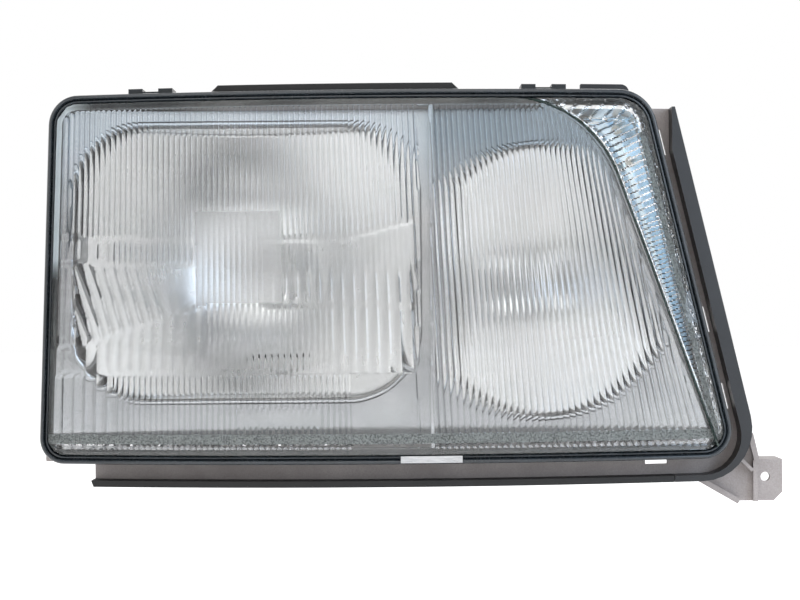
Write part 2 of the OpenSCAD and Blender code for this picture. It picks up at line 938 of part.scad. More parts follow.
// Fog reflector: round bowl cut flat beside the divider and the curved line
module fog_reflector() {
    color([0.83, 0.84, 0.85]) difference() {
        union() {
            intersection() {
                upright(fog_rim_y, far_back) fog_opening(skin);
                bowl(fog_x, fog_z, fog_f, fog_vertex + skin, fog_r + 2 * skin);
            }
            for (p = fog_balls())
                rod(p[0], p[1], max(fog_rim_y, fog_ball_y - socket_l / 2 - lug_l),
                    fog_ball_y - socket_l / 2, socket_r);
            rod(fog_x, fog_z, fog_neck_y - 4, fog_seat_y, fog_neck_r);
        }
        intersection() {
            upright(fog_rim_y - 1, far_back) fog_opening();
            bowl(fog_x, fog_z, fog_f, fog_vertex, fog_r + skin);
        }
        rod(fog_x, fog_z, fog_rim_y, far_back, fog_seat_r);
    }
}

// Base of the fog bulb
module fog_bulb_base() {
    y = fog_seat_y;
    color([0.72, 0.73, 0.74]) {
        rod(fog_x, fog_z, y - 5, y + eps, fog_seat_r - 0.8);
        rod(fog_x, fog_z, y, y + bulb_flange_t, fog_neck_r - 2);
        rod(fog_x, fog_z, y + bulb_flange_t - eps, y + 5, 6);
    }
}

// Glass of the fog bulb
module fog_bulb_glass() {
    r = 5;
    l = 26;
    y0 = fog_seat_y - 5 - part_gap;
    color([0.95, 0.96, 0.97, 0.5]) turned(fog_x, fog_z) intersection() {
        union() {
            translate([0, y0 - l + r]) square([r, l - r]);
            translate([0, y0 - l + r]) circle(r);
        }
        translate([0, y0 - l - 1]) square([r + 1, l + 1]);
    }
}

// Insulated connector behind the fog bulb
module fog_connector() {
    y = fog_seat_y + 5 + part_gap;
    color([0.13, 0.13, 0.14]) block([fog_x - 6, y, fog_z - 5], [fog_x + 6, y + 10, fog_z + 5]);
}

// Rubber ring between a collar and its cap
module cap_gasket(x, z, y, r) {
    color([0.1, 0.1, 0.1]) turned(x, z) translate([r - collar_t, y]) square([collar_t, gasket_t]);
}

module main_cap_gasket() {
    cap_gasket(main_x, main_z, main_bell_y + main_collar_l, main_collar_r);
}

module fog_cap_gasket() {
    cap_gasket(fog_x, fog_z, fog_bell_y + fog_collar_l, fog_collar_r);
}

// Turn-lock cap: skirt over the collar, sloping shoulder, flat end, grip and ribs
module cap(x, z, y, r, h) {
    inner = r + turn_gap;
    outer = inner + cap_t;
    seat = y + gasket_t + part_gap;
    skirt_y = y - 12;
    end_r = r - 12;
    back = y + h;
    groove_y = y - 9;
    ribs = 18;
    turned(x, z) polygon([
        [inner, skirt_y], [outer, skirt_y], [outer, seat + 3],
        [end_r + cap_t, back], [0, back], [0, back - cap_t],
        [end_r, back - cap_t], [r - collar_t - 1, seat + 1], [r - collar_t - 1, seat], [inner, seat]
    ]);
    around(x, z, lug_count)
        intersection() {
            block([-lug_w / 2, groove_y + 0.4, r - groove_d + turn_gap],
                [lug_w / 2, groove_y + groove_w - 0.4, inner + 0.5]);
            rod(0, 0, groove_y, groove_y + groove_w, inner + 0.4);
        }
    around(x, z, ribs)
        block([-1.2, skirt_y + 1, outer - 0.5], [1.2, seat + 2, outer + 1.6]);
    block([x - end_r + 4, back - 1, z - 4], [x + end_r - 4, back + 6, z + 4]);
}

module main_cap() {
    color([0.15, 0.15, 0.16])
        cap(main_x, main_z, main_bell_y + main_collar_l, main_collar_r, main_cap_h);
}

module fog_cap() {
    color([0.15, 0.15, 0.16])
        cap(fog_x, fog_z, fog_bell_y + fog_collar_l, fog_collar_r, fog_cap_h);
}

// Plug socket on the rear wall
module lamp_socket() {
    shell = 2;
    color([0.12, 0.12, 0.13]) difference() {
        block([plug_x - plug_w / 2, tray_back, plug_z - plug_h / 2],
            [plug_x + plug_w / 2, tray_back + plug_l, plug_z + plug_h / 2]);
        block([plug_x - plug_w / 2 + shell, tray_back + 5, plug_z - plug_h / 2 + shell],
            [plug_x + plug_w / 2 - shell, tray_back + plug_l + 1, plug_z + plug_h / 2 - shell]);
        for (p = plug_pins())
            block([p[0] - 1.6, tray_back - 1, p[1] - 0.6], [p[0] + 1.6, tray_back + 6, p[1] + 0.6]);
    }
}

function plug_pins() = [
    for (i = [0:pin_count - 1])
        [plug_x - 8 + 8 * (i % 3), plug_z - 4 + 8 * floor(i / 3)]
];

// Blades of the plug socket
module socket_pins() {
    color([0.75, 0.74, 0.7]) for (p = plug_pins())
        block([p[0] - 1.5, tray_back - 3, p[1] - 0.4], [p[0] + 1.5, tray_back + 20, p[1] + 0.4]);
}

// Rubber breather cap over its spigot
module breather_cap() {
    y = tray_back + 2;
    color([0.09, 0.09, 0.09]) turned(breather_x, breather_z) polygon([
        [6.1, y], [8.5, y], [8.5, y + 9], [7, y + 11], [0, y + 11], [0, y + 8.5], [6.1, y + 8.5]
    ]);
}

gap_x = (divider_x + main_right) / 2 + 3.5;
main_plug_y = main_seat_y + h4_barrel + part_gap + 18;
fog_plug_y = fog_seat_y + 5 + part_gap + 10;
main_lead_way = [
    [plug_x - 3, tray_back - 3.4, plug_z],
    [plug_x - 2, tray_back - 8, plug_z + 3],
    [gap_x - 1, tray_back - 10, plug_z + 18],
    [gap_x, tray_back - 9, main_z - 44],
    [gap_x, tray_back - 6, main_z - 14],
    [main_x + 95.5, 22, main_z - 2],
    [main_x + 84, 40, main_z],
    [main_x + 70, 56, main_z + 1],
    [main_x + main_collar_r + 2, 67, main_z + 2],
    [main_x + main_collar_r - 12, 80, main_z + 4],
    [main_x + main_collar_r - 16, 98, main_z + 12],
    [main_x + main_collar_r - 24, 111, main_z + 24],
    [main_x + 12, main_plug_y + 2, main_z + 30],
    [main_x + 2, main_plug_y + 10, main_z + 24],
    [main_x, main_plug_y + 13, main_z + 13],
    [main_x, main_plug_y + 9, main_z + 3],
    [main_x, main_plug_y + 0.5, main_z]
];
fog_lead_way = [
    [plug_x + 8, tray_back - 3.4, plug_z],
    [plug_x + 10, tray_back - 8, plug_z + 1],
    [plug_x + 30, tray_back - 11, plug_z],
    [fog_x - 14, 6, fog_z - fog_r - 1],
    [fog_x - 1, 18, fog_z - fog_r + 3],
    [fog_x, 36, fog_z - fog_r + 12],
    [fog_x, 52, fog_z - fog_r + 26],
    [fog_x, 65, fog_z - 35],
    [fog_x, 78, fog_z - 28],
    [fog_x, fog_plug_y + 1, fog_z - 20],
    [fog_x, fog_plug_y + 7, fog_z - 10],
    [fog_x, fog_plug_y + 6, fog_z - 2],
    [fog_x, fog_plug_y + 0.5, fog_z]
];

// Frames along a path, then one ring of points at each
function way_dir(p, i) = unit(p[min(i + 1, len(p) - 1)] - p[max(i - 1, 0)]);
function side_of(d) = unit(cross(d, abs(d[2]) < 0.9 ? [0, 0, 1] : [1, 0, 0]));
function carry(s, d) = unit(s - (s * d) * d);
function sides_along(p, i = 0, s = [0, 0, 0]) =
    i == len(p) ? [] :
    let (d = way_dir(p, i), t = i == 0 ? side_of(d) : carry(s, d))
    concat([t], sides_along(p, i + 1, t));
function ring(c, d, s, r, n) = [
    for (k = [0:n - 1]) c + r * (cos(360 * k / n) * s + sin(360 * k / n) * cross(d, s))
];
function smooth(p, steps) = [
    for (i = [0:len(p) - 2]) for (j = [0:steps - 1])
        let (t = j / steps, a = p[max(i - 1, 0)], b = p[i], c = p[i + 1], e = p[min(i + 2, len(p) - 1)])
        0.5 * (2 * b + (c - a) * t + (2 * a - 5 * b + 4 * c - e) * t * t
            + (3 * b - a - 3 * c + e) * t * t * t),
    p[len(p) - 1]
];

// A tube of n sides swept along a path
module tube(way, r, n) {
    p = smooth(way, 3);
    s = sides_along(p);
    pts = [for (i = [0:len(p) - 1]) each ring(p[i], way_dir(p, i), s[i], r, n)];
    last = len(p) - 1;
    faces = concat(
        [[for (k = [0:n - 1]) k]],
        [[for (k = [n - 1:-1:0]) last * n + k]],
        [for (i = [0:last - 1]) for (k = [0:n - 1])
            [i * n + k, (i + 1) * n + k, (i + 1) * n + (k + 1) % n, i * n + (k + 1) % n]]
    );
    polyhedron(pts, faces);
}

module main_lead() {
    color([0.1, 0.1, 0.1]) tube(main_lead_way, lead_r, lead_sides);
}

module fog_lead() {
    color([0.1, 0.1, 0.1]) tube(fog_lead_way, lead_r, lead_sides);
}

housing();
lens();
lens_seal();
lens_frame();
lens_clips();
top_seal();
side_rail();
bottom_seal();
inner_mask();
corner_reflector();
corner_screws();
main_reflector();
ball_sockets();
fog_sockets();
height_stud();
side_stud();
fog_stud();
pivot_ball();
pivot_stud();
fog_pivot_studs();
height_knob();
side_knob();
fog_knob();
bulb_base();
bulb_glass();
bulb_connector();
bulb_spring();
fog_spring();
parking_holder();
parking_bulb();
fog_reflector();
fog_bulb_base();
fog_bulb_glass();
fog_connector();
main_cap_gasket();
fog_cap_gasket();
main_cap();
fog_cap();
lamp_socket();
socket_pins();
breather_cap();
main_lead();
fog_lead();
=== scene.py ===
# %% [markdown]
# # A car headlight, dressed over its CAD frame
# The lamp is a pressed glass cover in a black frame, two silvered bowls behind a painted mask, and a
# moulded housing with its caps and aiming screws. This lesson adds what a CAD model lacks: the flutes
# of the glass, the smooth silvering, the rolled edges, the filaments, and a finish for every part.

# %% Load the frame
import math

import bmesh
import bpy
import numpy as np
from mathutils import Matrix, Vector


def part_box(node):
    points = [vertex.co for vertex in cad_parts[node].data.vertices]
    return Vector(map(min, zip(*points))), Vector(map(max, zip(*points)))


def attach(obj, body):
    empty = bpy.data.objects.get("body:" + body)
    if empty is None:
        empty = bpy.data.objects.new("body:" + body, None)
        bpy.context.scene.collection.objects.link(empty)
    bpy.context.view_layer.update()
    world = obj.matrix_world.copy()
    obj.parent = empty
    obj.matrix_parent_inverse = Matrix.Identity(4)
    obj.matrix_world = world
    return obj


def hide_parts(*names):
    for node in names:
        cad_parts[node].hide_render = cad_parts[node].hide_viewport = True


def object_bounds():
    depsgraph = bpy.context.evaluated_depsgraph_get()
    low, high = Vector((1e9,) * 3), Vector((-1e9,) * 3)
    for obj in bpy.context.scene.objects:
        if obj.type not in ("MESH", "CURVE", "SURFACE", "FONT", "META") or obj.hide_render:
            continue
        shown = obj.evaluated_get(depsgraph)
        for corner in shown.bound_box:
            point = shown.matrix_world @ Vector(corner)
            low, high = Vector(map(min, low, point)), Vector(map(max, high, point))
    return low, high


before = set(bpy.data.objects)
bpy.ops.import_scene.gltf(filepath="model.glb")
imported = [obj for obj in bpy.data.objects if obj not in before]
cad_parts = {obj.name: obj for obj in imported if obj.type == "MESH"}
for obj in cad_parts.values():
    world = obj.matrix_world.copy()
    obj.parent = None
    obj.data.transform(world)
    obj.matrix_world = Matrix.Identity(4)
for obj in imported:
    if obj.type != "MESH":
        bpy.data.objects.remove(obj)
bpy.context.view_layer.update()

# %% [markdown]
# ## Small tools
# Lengths below are millimetres, because a lamp maker thinks in them, and the mesh helper turns them into
# metres. Colours are sRGB hex codes, as a paint chart gives them, and one function makes them linear.

# %% Units, colour and node helpers
MM = 0.001


def linear(code):
    """sRGB hex to linear light: below 0.04045 a channel is divided by 12.92, above it is
    ((c + 0.055) / 1.055) to the power 2.4."""
    c = np.array([int(code[i:i + 2], 16) for i in (1, 3, 5)]) / 255
    c = np.where(c <= 0.04045, c / 12.92, ((c + 0.055) / 1.055) ** 2.4)
    return (*c.tolist(), 1.0)


def add(tree, kind, inputs=None, **settings):
    """Adds one node. Settings are its own properties. Inputs are values, or the sockets that feed them."""
    node = tree.nodes.new(kind)
    for name, value in settings.items():
        setattr(node, name, value)
    for name, value in (inputs or {}).items():
        if isinstance(value, bpy.types.NodeSocket):
            tree.links.new(value, node.inputs[name])
        else:
            node.inputs[name].default_value = value
    return node


def new_material(name):
    """An empty material, its node tree, and the socket that says where a point of it lies, in metres."""
    made = bpy.data.materials.new(name)
    made.use_nodes = True
    tree = made.node_tree
    tree.nodes.clear()
    return made, tree, add(tree, "ShaderNodeTexCoord").outputs["Object"]


def open_material(material):
    """What is needed to change a finished material: its tree, its shader, the colour that feeds the shader,
    and the socket that says where a point lies."""
    tree = material.node_tree
    shader = next(n for n in tree.nodes if n.type == "BSDF_PRINCIPLED")
    base_tone = shader.inputs["Base Color"].links[0].from_socket
    return tree, shader, base_tone, add(tree, "ShaderNodeTexCoord").outputs["Object"]


def two_tones(tree, amount, low_tone, high_tone, low=0.0, high=1.0):
    """A colour that runs from one tone to the other while the amount runs from low to high."""
    ramp = add(tree, "ShaderNodeValToRGB", {"Fac": amount})
    for stop, place, tone in zip(ramp.color_ramp.elements, (low, high), (low_tone, high_tone)):
        stop.position, stop.color = place, linear(tone)
    return ramp.outputs["Color"]


def mixed(tree, amount, a, b):
    """Colour a where the amount is 0, colour b where it is 1."""
    return add(tree, "ShaderNodeMix", {"Factor": amount, "A": a, "B": b}, data_type="RGBA").outputs["Result"]


# %% Mesh helpers
SHARP = math.radians(24)


def cells(rows, cols, wrap_rows=False, wrap_cols=False):
    """Four-sided faces of a grid whose point (i, j) has the number i * cols + j; wrapping joins the last
    row or column to the first."""
    i = np.arange(rows if wrap_rows else rows - 1)[:, None]
    j = np.arange(cols if wrap_cols else cols - 1)[None, :]
    up, along = (i + 1) % rows, (j + 1) % cols
    return np.stack([i * cols + j, i * cols + along, up * cols + along, up * cols + j], -1).reshape(-1, 4)


def tube_faces(rings, sides):
    """Faces of a tube of rings of points: its wall, and a flat end on the first and the last ring."""
    last = (rings - 1) * sides
    return cells(rings, sides, False, True).tolist() + [list(range(sides)), list(range(last, last + sides))]


def make(name, points, faces, materials, body="root", merge=0.0, sharp=SHARP):
    """Makes a piece from points in mm. Points closer than merge mm become one, and on a closed shape the
    faces then turn outward. Edges that turn more than sharp stay crisp."""
    mesh = bpy.data.meshes.new(name)
    mesh.from_pydata((np.asarray(points, float).reshape(-1, 3) * MM).tolist(), [], [list(f) for f in faces])
    work = bmesh.new()
    work.from_mesh(mesh)
    if merge:
        bmesh.ops.remove_doubles(work, verts=work.verts, dist=merge * MM)
    bmesh.ops.recalc_face_normals(work, faces=work.faces)
    work.to_mesh(mesh)
    work.free()
    mesh.polygons.foreach_set("use_smooth", np.ones(len(mesh.polygons), bool))
    mesh.set_sharp_from_angle(angle=sharp)
    for material in materials if isinstance(materials, list) else [materials]:
        mesh.materials.append(material)
    piece = bpy.data.objects.new(name, mesh)
    bpy.context.scene.collection.objects.link(piece)
    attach(piece, body)
    print(f"{name}: {len(mesh.vertices)} points, {len(mesh.polygons)} faces, on {body}")
    return piece


def face_centres(mesh):
    """The middle of each face, in mm."""
    centres = np.zeros(len(mesh.polygons) * 3)
    mesh.polygons.foreach_get("center", centres)
    return centres.reshape(-1, 3) / MM


# %% [markdown]
# ## The camera and the room
# The lamp is seen square on from a little over a metre, which keeps its sides nearly parallel. The room
# is a light tent, pale above and a shade greyer below, with two soft grey panels at each side, so that
# the bowls, which are mirrors, have something to show. The eye sees plain white behind the lamp.

# %% Camera
EYE = (-209.7, -1164, 103.6)
LEVEL, ROLL = math.radians(90), math.radians(0.5)
LENS, SENSOR, FARTHEST_M = 90.7, 36, 50
camera_data = bpy.data.cameras.new("camera")
camera_data.lens = LENS
camera_data.sensor_width = SENSOR
camera_data.clip_end = FARTHEST_M
camera = bpy.data.objects.new("camera", camera_data)
camera.location = [v * MM for v in EYE]
camera.rotation_euler = (LEVEL, ROLL, 0)
bpy.context.scene.collection.objects.link(camera)
bpy.context.scene.camera = camera
bpy.context.scene.view_settings.view_transform = "Standard"

# %% Light tent
# WALLS gives the tone by how high a direction points, PANELS by how far it points to either side
WALLS = ((0.0, "#b9b6b5"), (0.33, "#c6c4c3"), (0.46, "#eceae8"), (0.75, "#f6f4f2"), (1.0, "#cbcac8"))
PANELS = ((0.1, "#ffffff"), (0.2, "#c2c3c6"), (0.3, "#ffffff"), (0.42, "#a4a6aa"), (0.6, "#b4b5b8"),
          (0.8, "#ffffff"))
TENT_LOW, TENT_HIGH, TENT_STRENGTH = -0.5, 0.75, 1.42
WHITE = (1, 1, 1, 1)
world = bpy.data.worlds.new("light_tent")
bpy.context.scene.world = world
world.use_nodes = True
tent = world.node_tree
tent.nodes.clear()
direction = add(tent, "ShaderNodeTexCoord")
parts = add(tent, "ShaderNodeSeparateXYZ", {"Vector": direction.outputs["Generated"]})
height = add(tent, "ShaderNodeMapRange",
             {"Value": parts.outputs["Z"], "From Min": TENT_LOW, "From Max": TENT_HIGH})
walls = add(tent, "ShaderNodeValToRGB", {"Fac": height.outputs["Result"]})
for place, tone in WALLS:
    walls.color_ramp.elements.new(place).color = linear(tone)
sideways = add(tent, "ShaderNodeMath", {0: parts.outputs["X"]}, operation="ABSOLUTE")
panels = add(tent, "ShaderNodeValToRGB", {"Fac": sideways.outputs[0]})
panels.color_ramp.interpolation = "EASE"
panels.color_ramp.elements[0].color = panels.color_ramp.elements[1].color = WHITE
for place, tone in PANELS:
    panels.color_ramp.elements.new(place).color = linear(tone)
paneled = add(tent, "ShaderNodeMix",
              {"Factor": 1.0, "A": walls.outputs["Color"], "B": panels.outputs["Color"]},
              data_type="RGBA", blend_type="MULTIPLY")
seen = add(tent, "ShaderNodeLightPath")
room = add(tent, "ShaderNodeBackground", {"Color": paneled.outputs["Result"], "Strength": TENT_STRENGTH})
plain = add(tent, "ShaderNodeBackground", {"Color": WHITE, "Strength": 1.0})
both = add(tent, "ShaderNodeMixShader",
           {0: seen.outputs["Is Camera Ray"], 1: room.outputs[0], 2: plain.outputs[0]})
add(tent, "ShaderNodeOutputWorld", {"Surface": both.outputs[0]})


# %% Softboxes
def softbox(name, place, toward, size, watts, tone):
    """A square lamp of a size in mm at a place in mm, turned to face a point."""
    lamp = bpy.data.lights.new(name, "AREA")
    lamp.size, lamp.energy, lamp.color = size * MM, watts, linear(tone)[:3]
    box = bpy.data.objects.new(name, lamp)
    box.location = np.array(place) * MM
    aim = (np.array(toward) - np.array(place)) * MM
    box.rotation_mode = "QUATERNION"
    box.rotation_quaternion = Vector(aim).to_track_quat("-Z", "Y")
    bpy.context.scene.collection.objects.link(box)


MIDDLE = (-216, 0, 110)
softbox("overhead", (-420, -1100, 1400), MIDDLE, 1700, 11, "#ffffff")
softbox("outer_side", (900, -800, 500), MIDDLE, 900, 8, "#cfe4fb")
softbox("behind", (-250, 1100, 900), MIDDLE, 1200, 5, "#ffffff")

# %% Floor
FLOOR_DROP, FLOOR_REACH = 60, 6000
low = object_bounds()[0].z / MM - FLOOR_DROP
floor_mesh = bpy.data.meshes.new("floor")
floor_mesh.from_pydata([(x * FLOOR_REACH * MM, y * FLOOR_REACH * MM, low * MM)
                        for x, y in ((-1, -1), (1, -1), (1, 1), (-1, 1))], [], [(0, 1, 2, 3)])
floor = bpy.data.objects.new("floor", floor_mesh)
bpy.context.scene.collection.objects.link(floor)
paper, tree, spot = new_material("white_paper")
fibre = add(tree, "ShaderNodeTexNoise", {"Vector": spot, "Scale": 400.0})
shade = add(tree, "ShaderNodeMapRange", {"Value": fibre.outputs["Fac"], "To Min": 0.9, "To Max": 0.94})
sheet = add(tree, "ShaderNodeBsdfPrincipled",
            {"Base Color": shade.outputs["Result"], "Roughness": 0.9, "Emission Color": WHITE,
             "Emission Strength": 0.3})
add(tree, "ShaderNodeOutputMaterial", {"Surface": sheet.outputs[0]})
floor_mesh.materials.append(paper)
print("floor", round(low), "mm; camera", [round(v / MM) for v in camera.location])

# %% [markdown]
# ## Finishes
# Most of the lamp is moulded plastic or plated steel. A moulded part shows a fine grain from its tool,
# slow changes of tone where the melt met, and small changes of gloss. One function makes all of that from
# two colours, a gloss and the grain's size, and each finish is named for its real material.


# %% A moulded, rolled or painted finish
TONE_RANGE, GLOSS_CHANGE = (0.1, 0.42), 0.15


def place_blend(tree, spot, axis, start, end):
    """0 at one place in mm along an axis of the lamp, rising to 1 at another."""
    split = add(tree, "ShaderNodeSeparateXYZ", {"Vector": spot})
    return add(tree, "ShaderNodeMapRange",
               {"Value": split.outputs[axis], "From Min": start * MM, "From Max": end * MM}).outputs["Result"]


def finish(name, light, dark, rough, grain, bump, metal=0.0, coat=0.0, stretch=(1, 1, 1), patch=18.0):
    """light and dark are the two ends of its slow change of tone. grain is the size in mm of its fine
    texture, bump how deep that looks, patch the size in mm of the slow change, stretch the way it runs."""
    made, tree, spot = new_material(name)
    run = add(tree, "ShaderNodeMapping", {"Vector": spot, "Scale": stretch})
    fine = add(tree, "ShaderNodeTexNoise",
               {"Vector": run.outputs[0], "Scale": 1 / (grain * MM), "Detail": 3.0, "Roughness": 0.6})
    slow = add(tree, "ShaderNodeTexNoise", {"Vector": spot, "Scale": 1 / (patch * MM), "Detail": 4.0})
    blend = add(tree, "ShaderNodeMath", {0: slow.outputs["Fac"], 1: fine.outputs["Fac"]},
                operation="MULTIPLY")
    tone = two_tones(tree, blend.outputs[0], dark, light, *TONE_RANGE)
    gloss = add(tree, "ShaderNodeMapRange",
                {"Value": fine.outputs["Fac"], "From Min": 0.3, "From Max": 0.7,
                 "To Min": rough * (1 - GLOSS_CHANGE), "To Max": rough * (1 + GLOSS_CHANGE)})
    relief = add(tree, "ShaderNodeBump",
                 {"Height": fine.outputs["Fac"], "Strength": bump, "Distance": grain * 0.5 * MM})
    face = add(tree, "ShaderNodeBsdfPrincipled",
               {"Base Color": tone, "Roughness": gloss.outputs["Result"],
                "Normal": relief.outputs["Normal"], "Metallic": metal, "Coat Weight": coat})
    add(tree, "ShaderNodeOutputMaterial", {"Surface": face.outputs[0]})
    return made


# %% Plastics, rubbers and metals
# Glass-filled polypropylene, moulded: a warm grey with a fine spark grain
housing_plastic = finish("moulded_grey_polypropylene", "#a8a19f", "#8d8684", 0.55, 0.8, 0.3)
# Nylon, moulded and satin: nearly black with a cold sheen along its edges
frame_plastic = finish("satin_black_nylon", "#2d343a", "#1d2226", 0.26, 0.6, 0.08, coat=0.3)
# Polypropylene, black and duller: caps, holders, plug and the outer rail
black_plastic = finish("black_polypropylene", "#1e1e20", "#101011", 0.42, 0.8, 0.25)
# EPDM rubber, moulded: matt and soft
rubber = finish("moulded_black_rubber", "#131313", "#090909", 0.62, 0.7, 0.3)
# Natural nylon: ivory, a little glossy
nylon = finish("natural_nylon", "#e9e5d8", "#cfc9b8", 0.36, 0.9, 0.12)
# Bright spring steel, cold rolled: the grain runs along the strip
spring_steel = finish("rolled_spring_steel", "#d6d7d8", "#adafb1", 0.3, 0.5, 0.15, 1.0, stretch=(0.08, 1, 1))
# Steel with bright zinc: a fine crystal grain
zinc = finish("zinc_plated_steel", "#c8c8c2", "#9a9b97", 0.34, 0.5, 0.12, 1.0)
# Tinned brass, stamped
brass = finish("tinned_brass", "#d8cfae", "#b09a62", 0.3, 0.4, 0.1, 1.0)
# Silver-grey lacquer on the mask, sprayed: a soft blue-grey sheen
mask_paint = finish("metallised_mask_lacquer", "#bdbfc2", "#a0a3a7", 0.13, 0.6, 0.06, 0.9, patch=30.0)
# Toward the top, and most round the fog lamp, the mask is painted bluer: a painted reflection of blue light
tree, shader, base_tone, spot = open_material(mask_paint)
high = place_blend(tree, spot, "Z", 150, 195)
outer = place_blend(tree, spot, "X", -205, -185)
painted_sky_reflection_blues = mixed(tree, outer, linear("#c9d3dd"), linear("#8d9ca8"))
tree.links.new(mixed(tree, high, base_tone, painted_sky_reflection_blues), shader.inputs["Base Color"])
# PVC round the leads
sheath = finish("black_pvc_sheath", "#242424", "#111111", 0.45, 0.6, 0.15)
# Tungsten, drawn and coiled
tungsten = finish("drawn_tungsten_wire", "#c9c7c3", "#a3a19d", 0.35, 0.2, 0.1, 1.0)
# The two clips on the top edge are blackened
blackened = finish("blackened_spring_steel", "#34383b", "#202325", 0.35, 0.5, 0.12, 0.4)

# %% [markdown]
# ## Silvering
# A bowl is moulded, lacquered, and given a film of aluminium in a vacuum. It is almost a mirror, but its
# lacquer has a faint ripple, which softens what it shows. Aluminium keeps the default IOR of a metal.

# %% Vacuum-metallised film
silver, tree, spot = new_material("vacuum_metallised_aluminium")
ripple = add(tree, "ShaderNodeTexNoise", {"Vector": spot, "Scale": 60.0, "Detail": 2.0})
haze = add(tree, "ShaderNodeMapRange", {"Value": ripple.outputs["Fac"], "To Min": 0.22, "To Max": 0.3})
tint = two_tones(tree, ripple.outputs["Fac"], "#eeeff0", "#f8f8f8")
lift = add(tree, "ShaderNodeBump", {"Height": ripple.outputs["Fac"], "Strength": 0.012, "Distance": 2 * MM})
film = add(tree, "ShaderNodeBsdfPrincipled",
           {"Base Color": tint, "Roughness": haze.outputs["Result"], "Normal": lift.outputs["Normal"],
            "Metallic": 1.0})
add(tree, "ShaderNodeOutputMaterial", {"Surface": film.outputs[0]})

# %% [markdown]
# ## Glass
# The cover is pressed soda-lime glass, IOR 1.52, a trace green. The press leaves a slow ripple. Along the
# foot and the outer end its inner face is stippled, where the dark sealing groove shows through. The
# narrow line between the fog lamp and the corner is thick glass seen edge on, so it looks dark green.


# %% Glass of every kind
SODA_LIME, QUARTZ = 1.52, 1.46


def glass(name, light, dark, rough, clear, grain, bump, ior=SODA_LIME):
    """light and dark tint it, clear is how much passes through, grain the size in mm of its ripple."""
    made, tree, spot = new_material(name)
    ripple = add(tree, "ShaderNodeTexNoise", {"Vector": spot, "Scale": 1 / (grain * MM), "Detail": 2.0})
    tint = two_tones(tree, ripple.outputs["Fac"], dark, light, 0.35, 0.65)
    relief = add(tree, "ShaderNodeBump",
                 {"Height": ripple.outputs["Fac"], "Strength": bump, "Distance": grain * 0.3 * MM})
    face = add(tree, "ShaderNodeBsdfPrincipled",
               {"Base Color": tint, "Normal": relief.outputs["Normal"], "Roughness": rough,
                "IOR": ior, "Transmission Weight": clear})
    add(tree, "ShaderNodeOutputMaterial", {"Surface": face.outputs[0]})
    return made


RIM_CLEAR, PALE_CLEAR = 0.6, 0.1
pressed_glass = glass("pressed_soda_lime_glass", "#ffffff", "#fcfdfc", 0.02, 1.0, 14.0, 0.02)
pillow_glass = glass("pressed_pillow_glass", "#ffffff", "#f8f8f8", 0.5, 1.0, 1.5, 0.6)
rim_glass = glass("ground_glass_rim", "#525c5e", "#2f3739", 0.1, RIM_CLEAR, 3.0, 0.2)
stippled_glass = glass("stippled_glass_over_sealant", "#a9b1b0", "#3d4644", 0.3, 0.3, 0.9, 0.8)
edge_glass = glass("dark_green_glass_edge", "#43534f", "#26332f", 0.08, 0.25, 2.0, 0.05)
bulb_glass = glass("drawn_quartz_glass", "#ffffff", "#f6f8f9", 0.18, 0.75, 6.0, 0.01, QUARTZ)
# Milk glass of the small parking bulb, which spreads its light
milky_glass = glass("milk_glass", "#ffffff", "#f2f2f2", 0.35, 0.3, 4.0, 0.05)
# The upper inner end of the rim catches the sky: it looks pale, and less of the dark groove shows through
tree, shader, base_tone, spot = open_material(rim_glass)
inner_end = place_blend(tree, spot, "X", -380, -396)
upper_end = place_blend(tree, spot, "Z", 116, 128)
pale = add(tree, "ShaderNodeMath", {0: inner_end, 1: upper_end}, operation="MULTIPLY").outputs[0]
tree.links.new(mixed(tree, pale, base_tone, linear("#e3eef4")), shader.inputs["Base Color"])
clear = add(tree, "ShaderNodeMapRange", {"Value": pale, "To Min": RIM_CLEAR, "To Max": PALE_CLEAR})
tree.links.new(clear.outputs["Result"], shader.inputs["Transmission Weight"])

# %% [markdown]
# ## The outline that everything follows
# The frame, the glass and its rim all follow one four-sided outline with round corners. Its sides lean:
# the inner end by about two degrees, the outer end by about fourteen. Each point also gets the direction
# that points out of the lamp, so a section can be carried round it. The face is bent to a cylinder.

# %% Outline of the face
FACE_RIGHT, FACE_W, BASE_Z, FACE_H = -19.0, 395.0, 13.0, 207.0
FACE_LEFT, TOP_Z = FACE_RIGHT - FACE_W, BASE_Z + FACE_H
MID_X, GLASS_Y, GLASS_R = (FACE_LEFT + FACE_RIGHT) / 2, -57.0, 770.0
INNER_LEAN, OUTER_LEAN = math.radians(2.2), math.radians(13.8)
CORNER_RADII = (14.0, 16.0, 22.0, 17.0)


def surface(x, depth):
    """Depth y of the bent face, a given depth behind its front: a circle of radius R less depth about an
    upright axis behind the middle of the lamp."""
    return GLASS_Y + GLASS_R - np.sqrt((GLASS_R - depth) ** 2 - (np.asarray(x) - MID_X) ** 2)


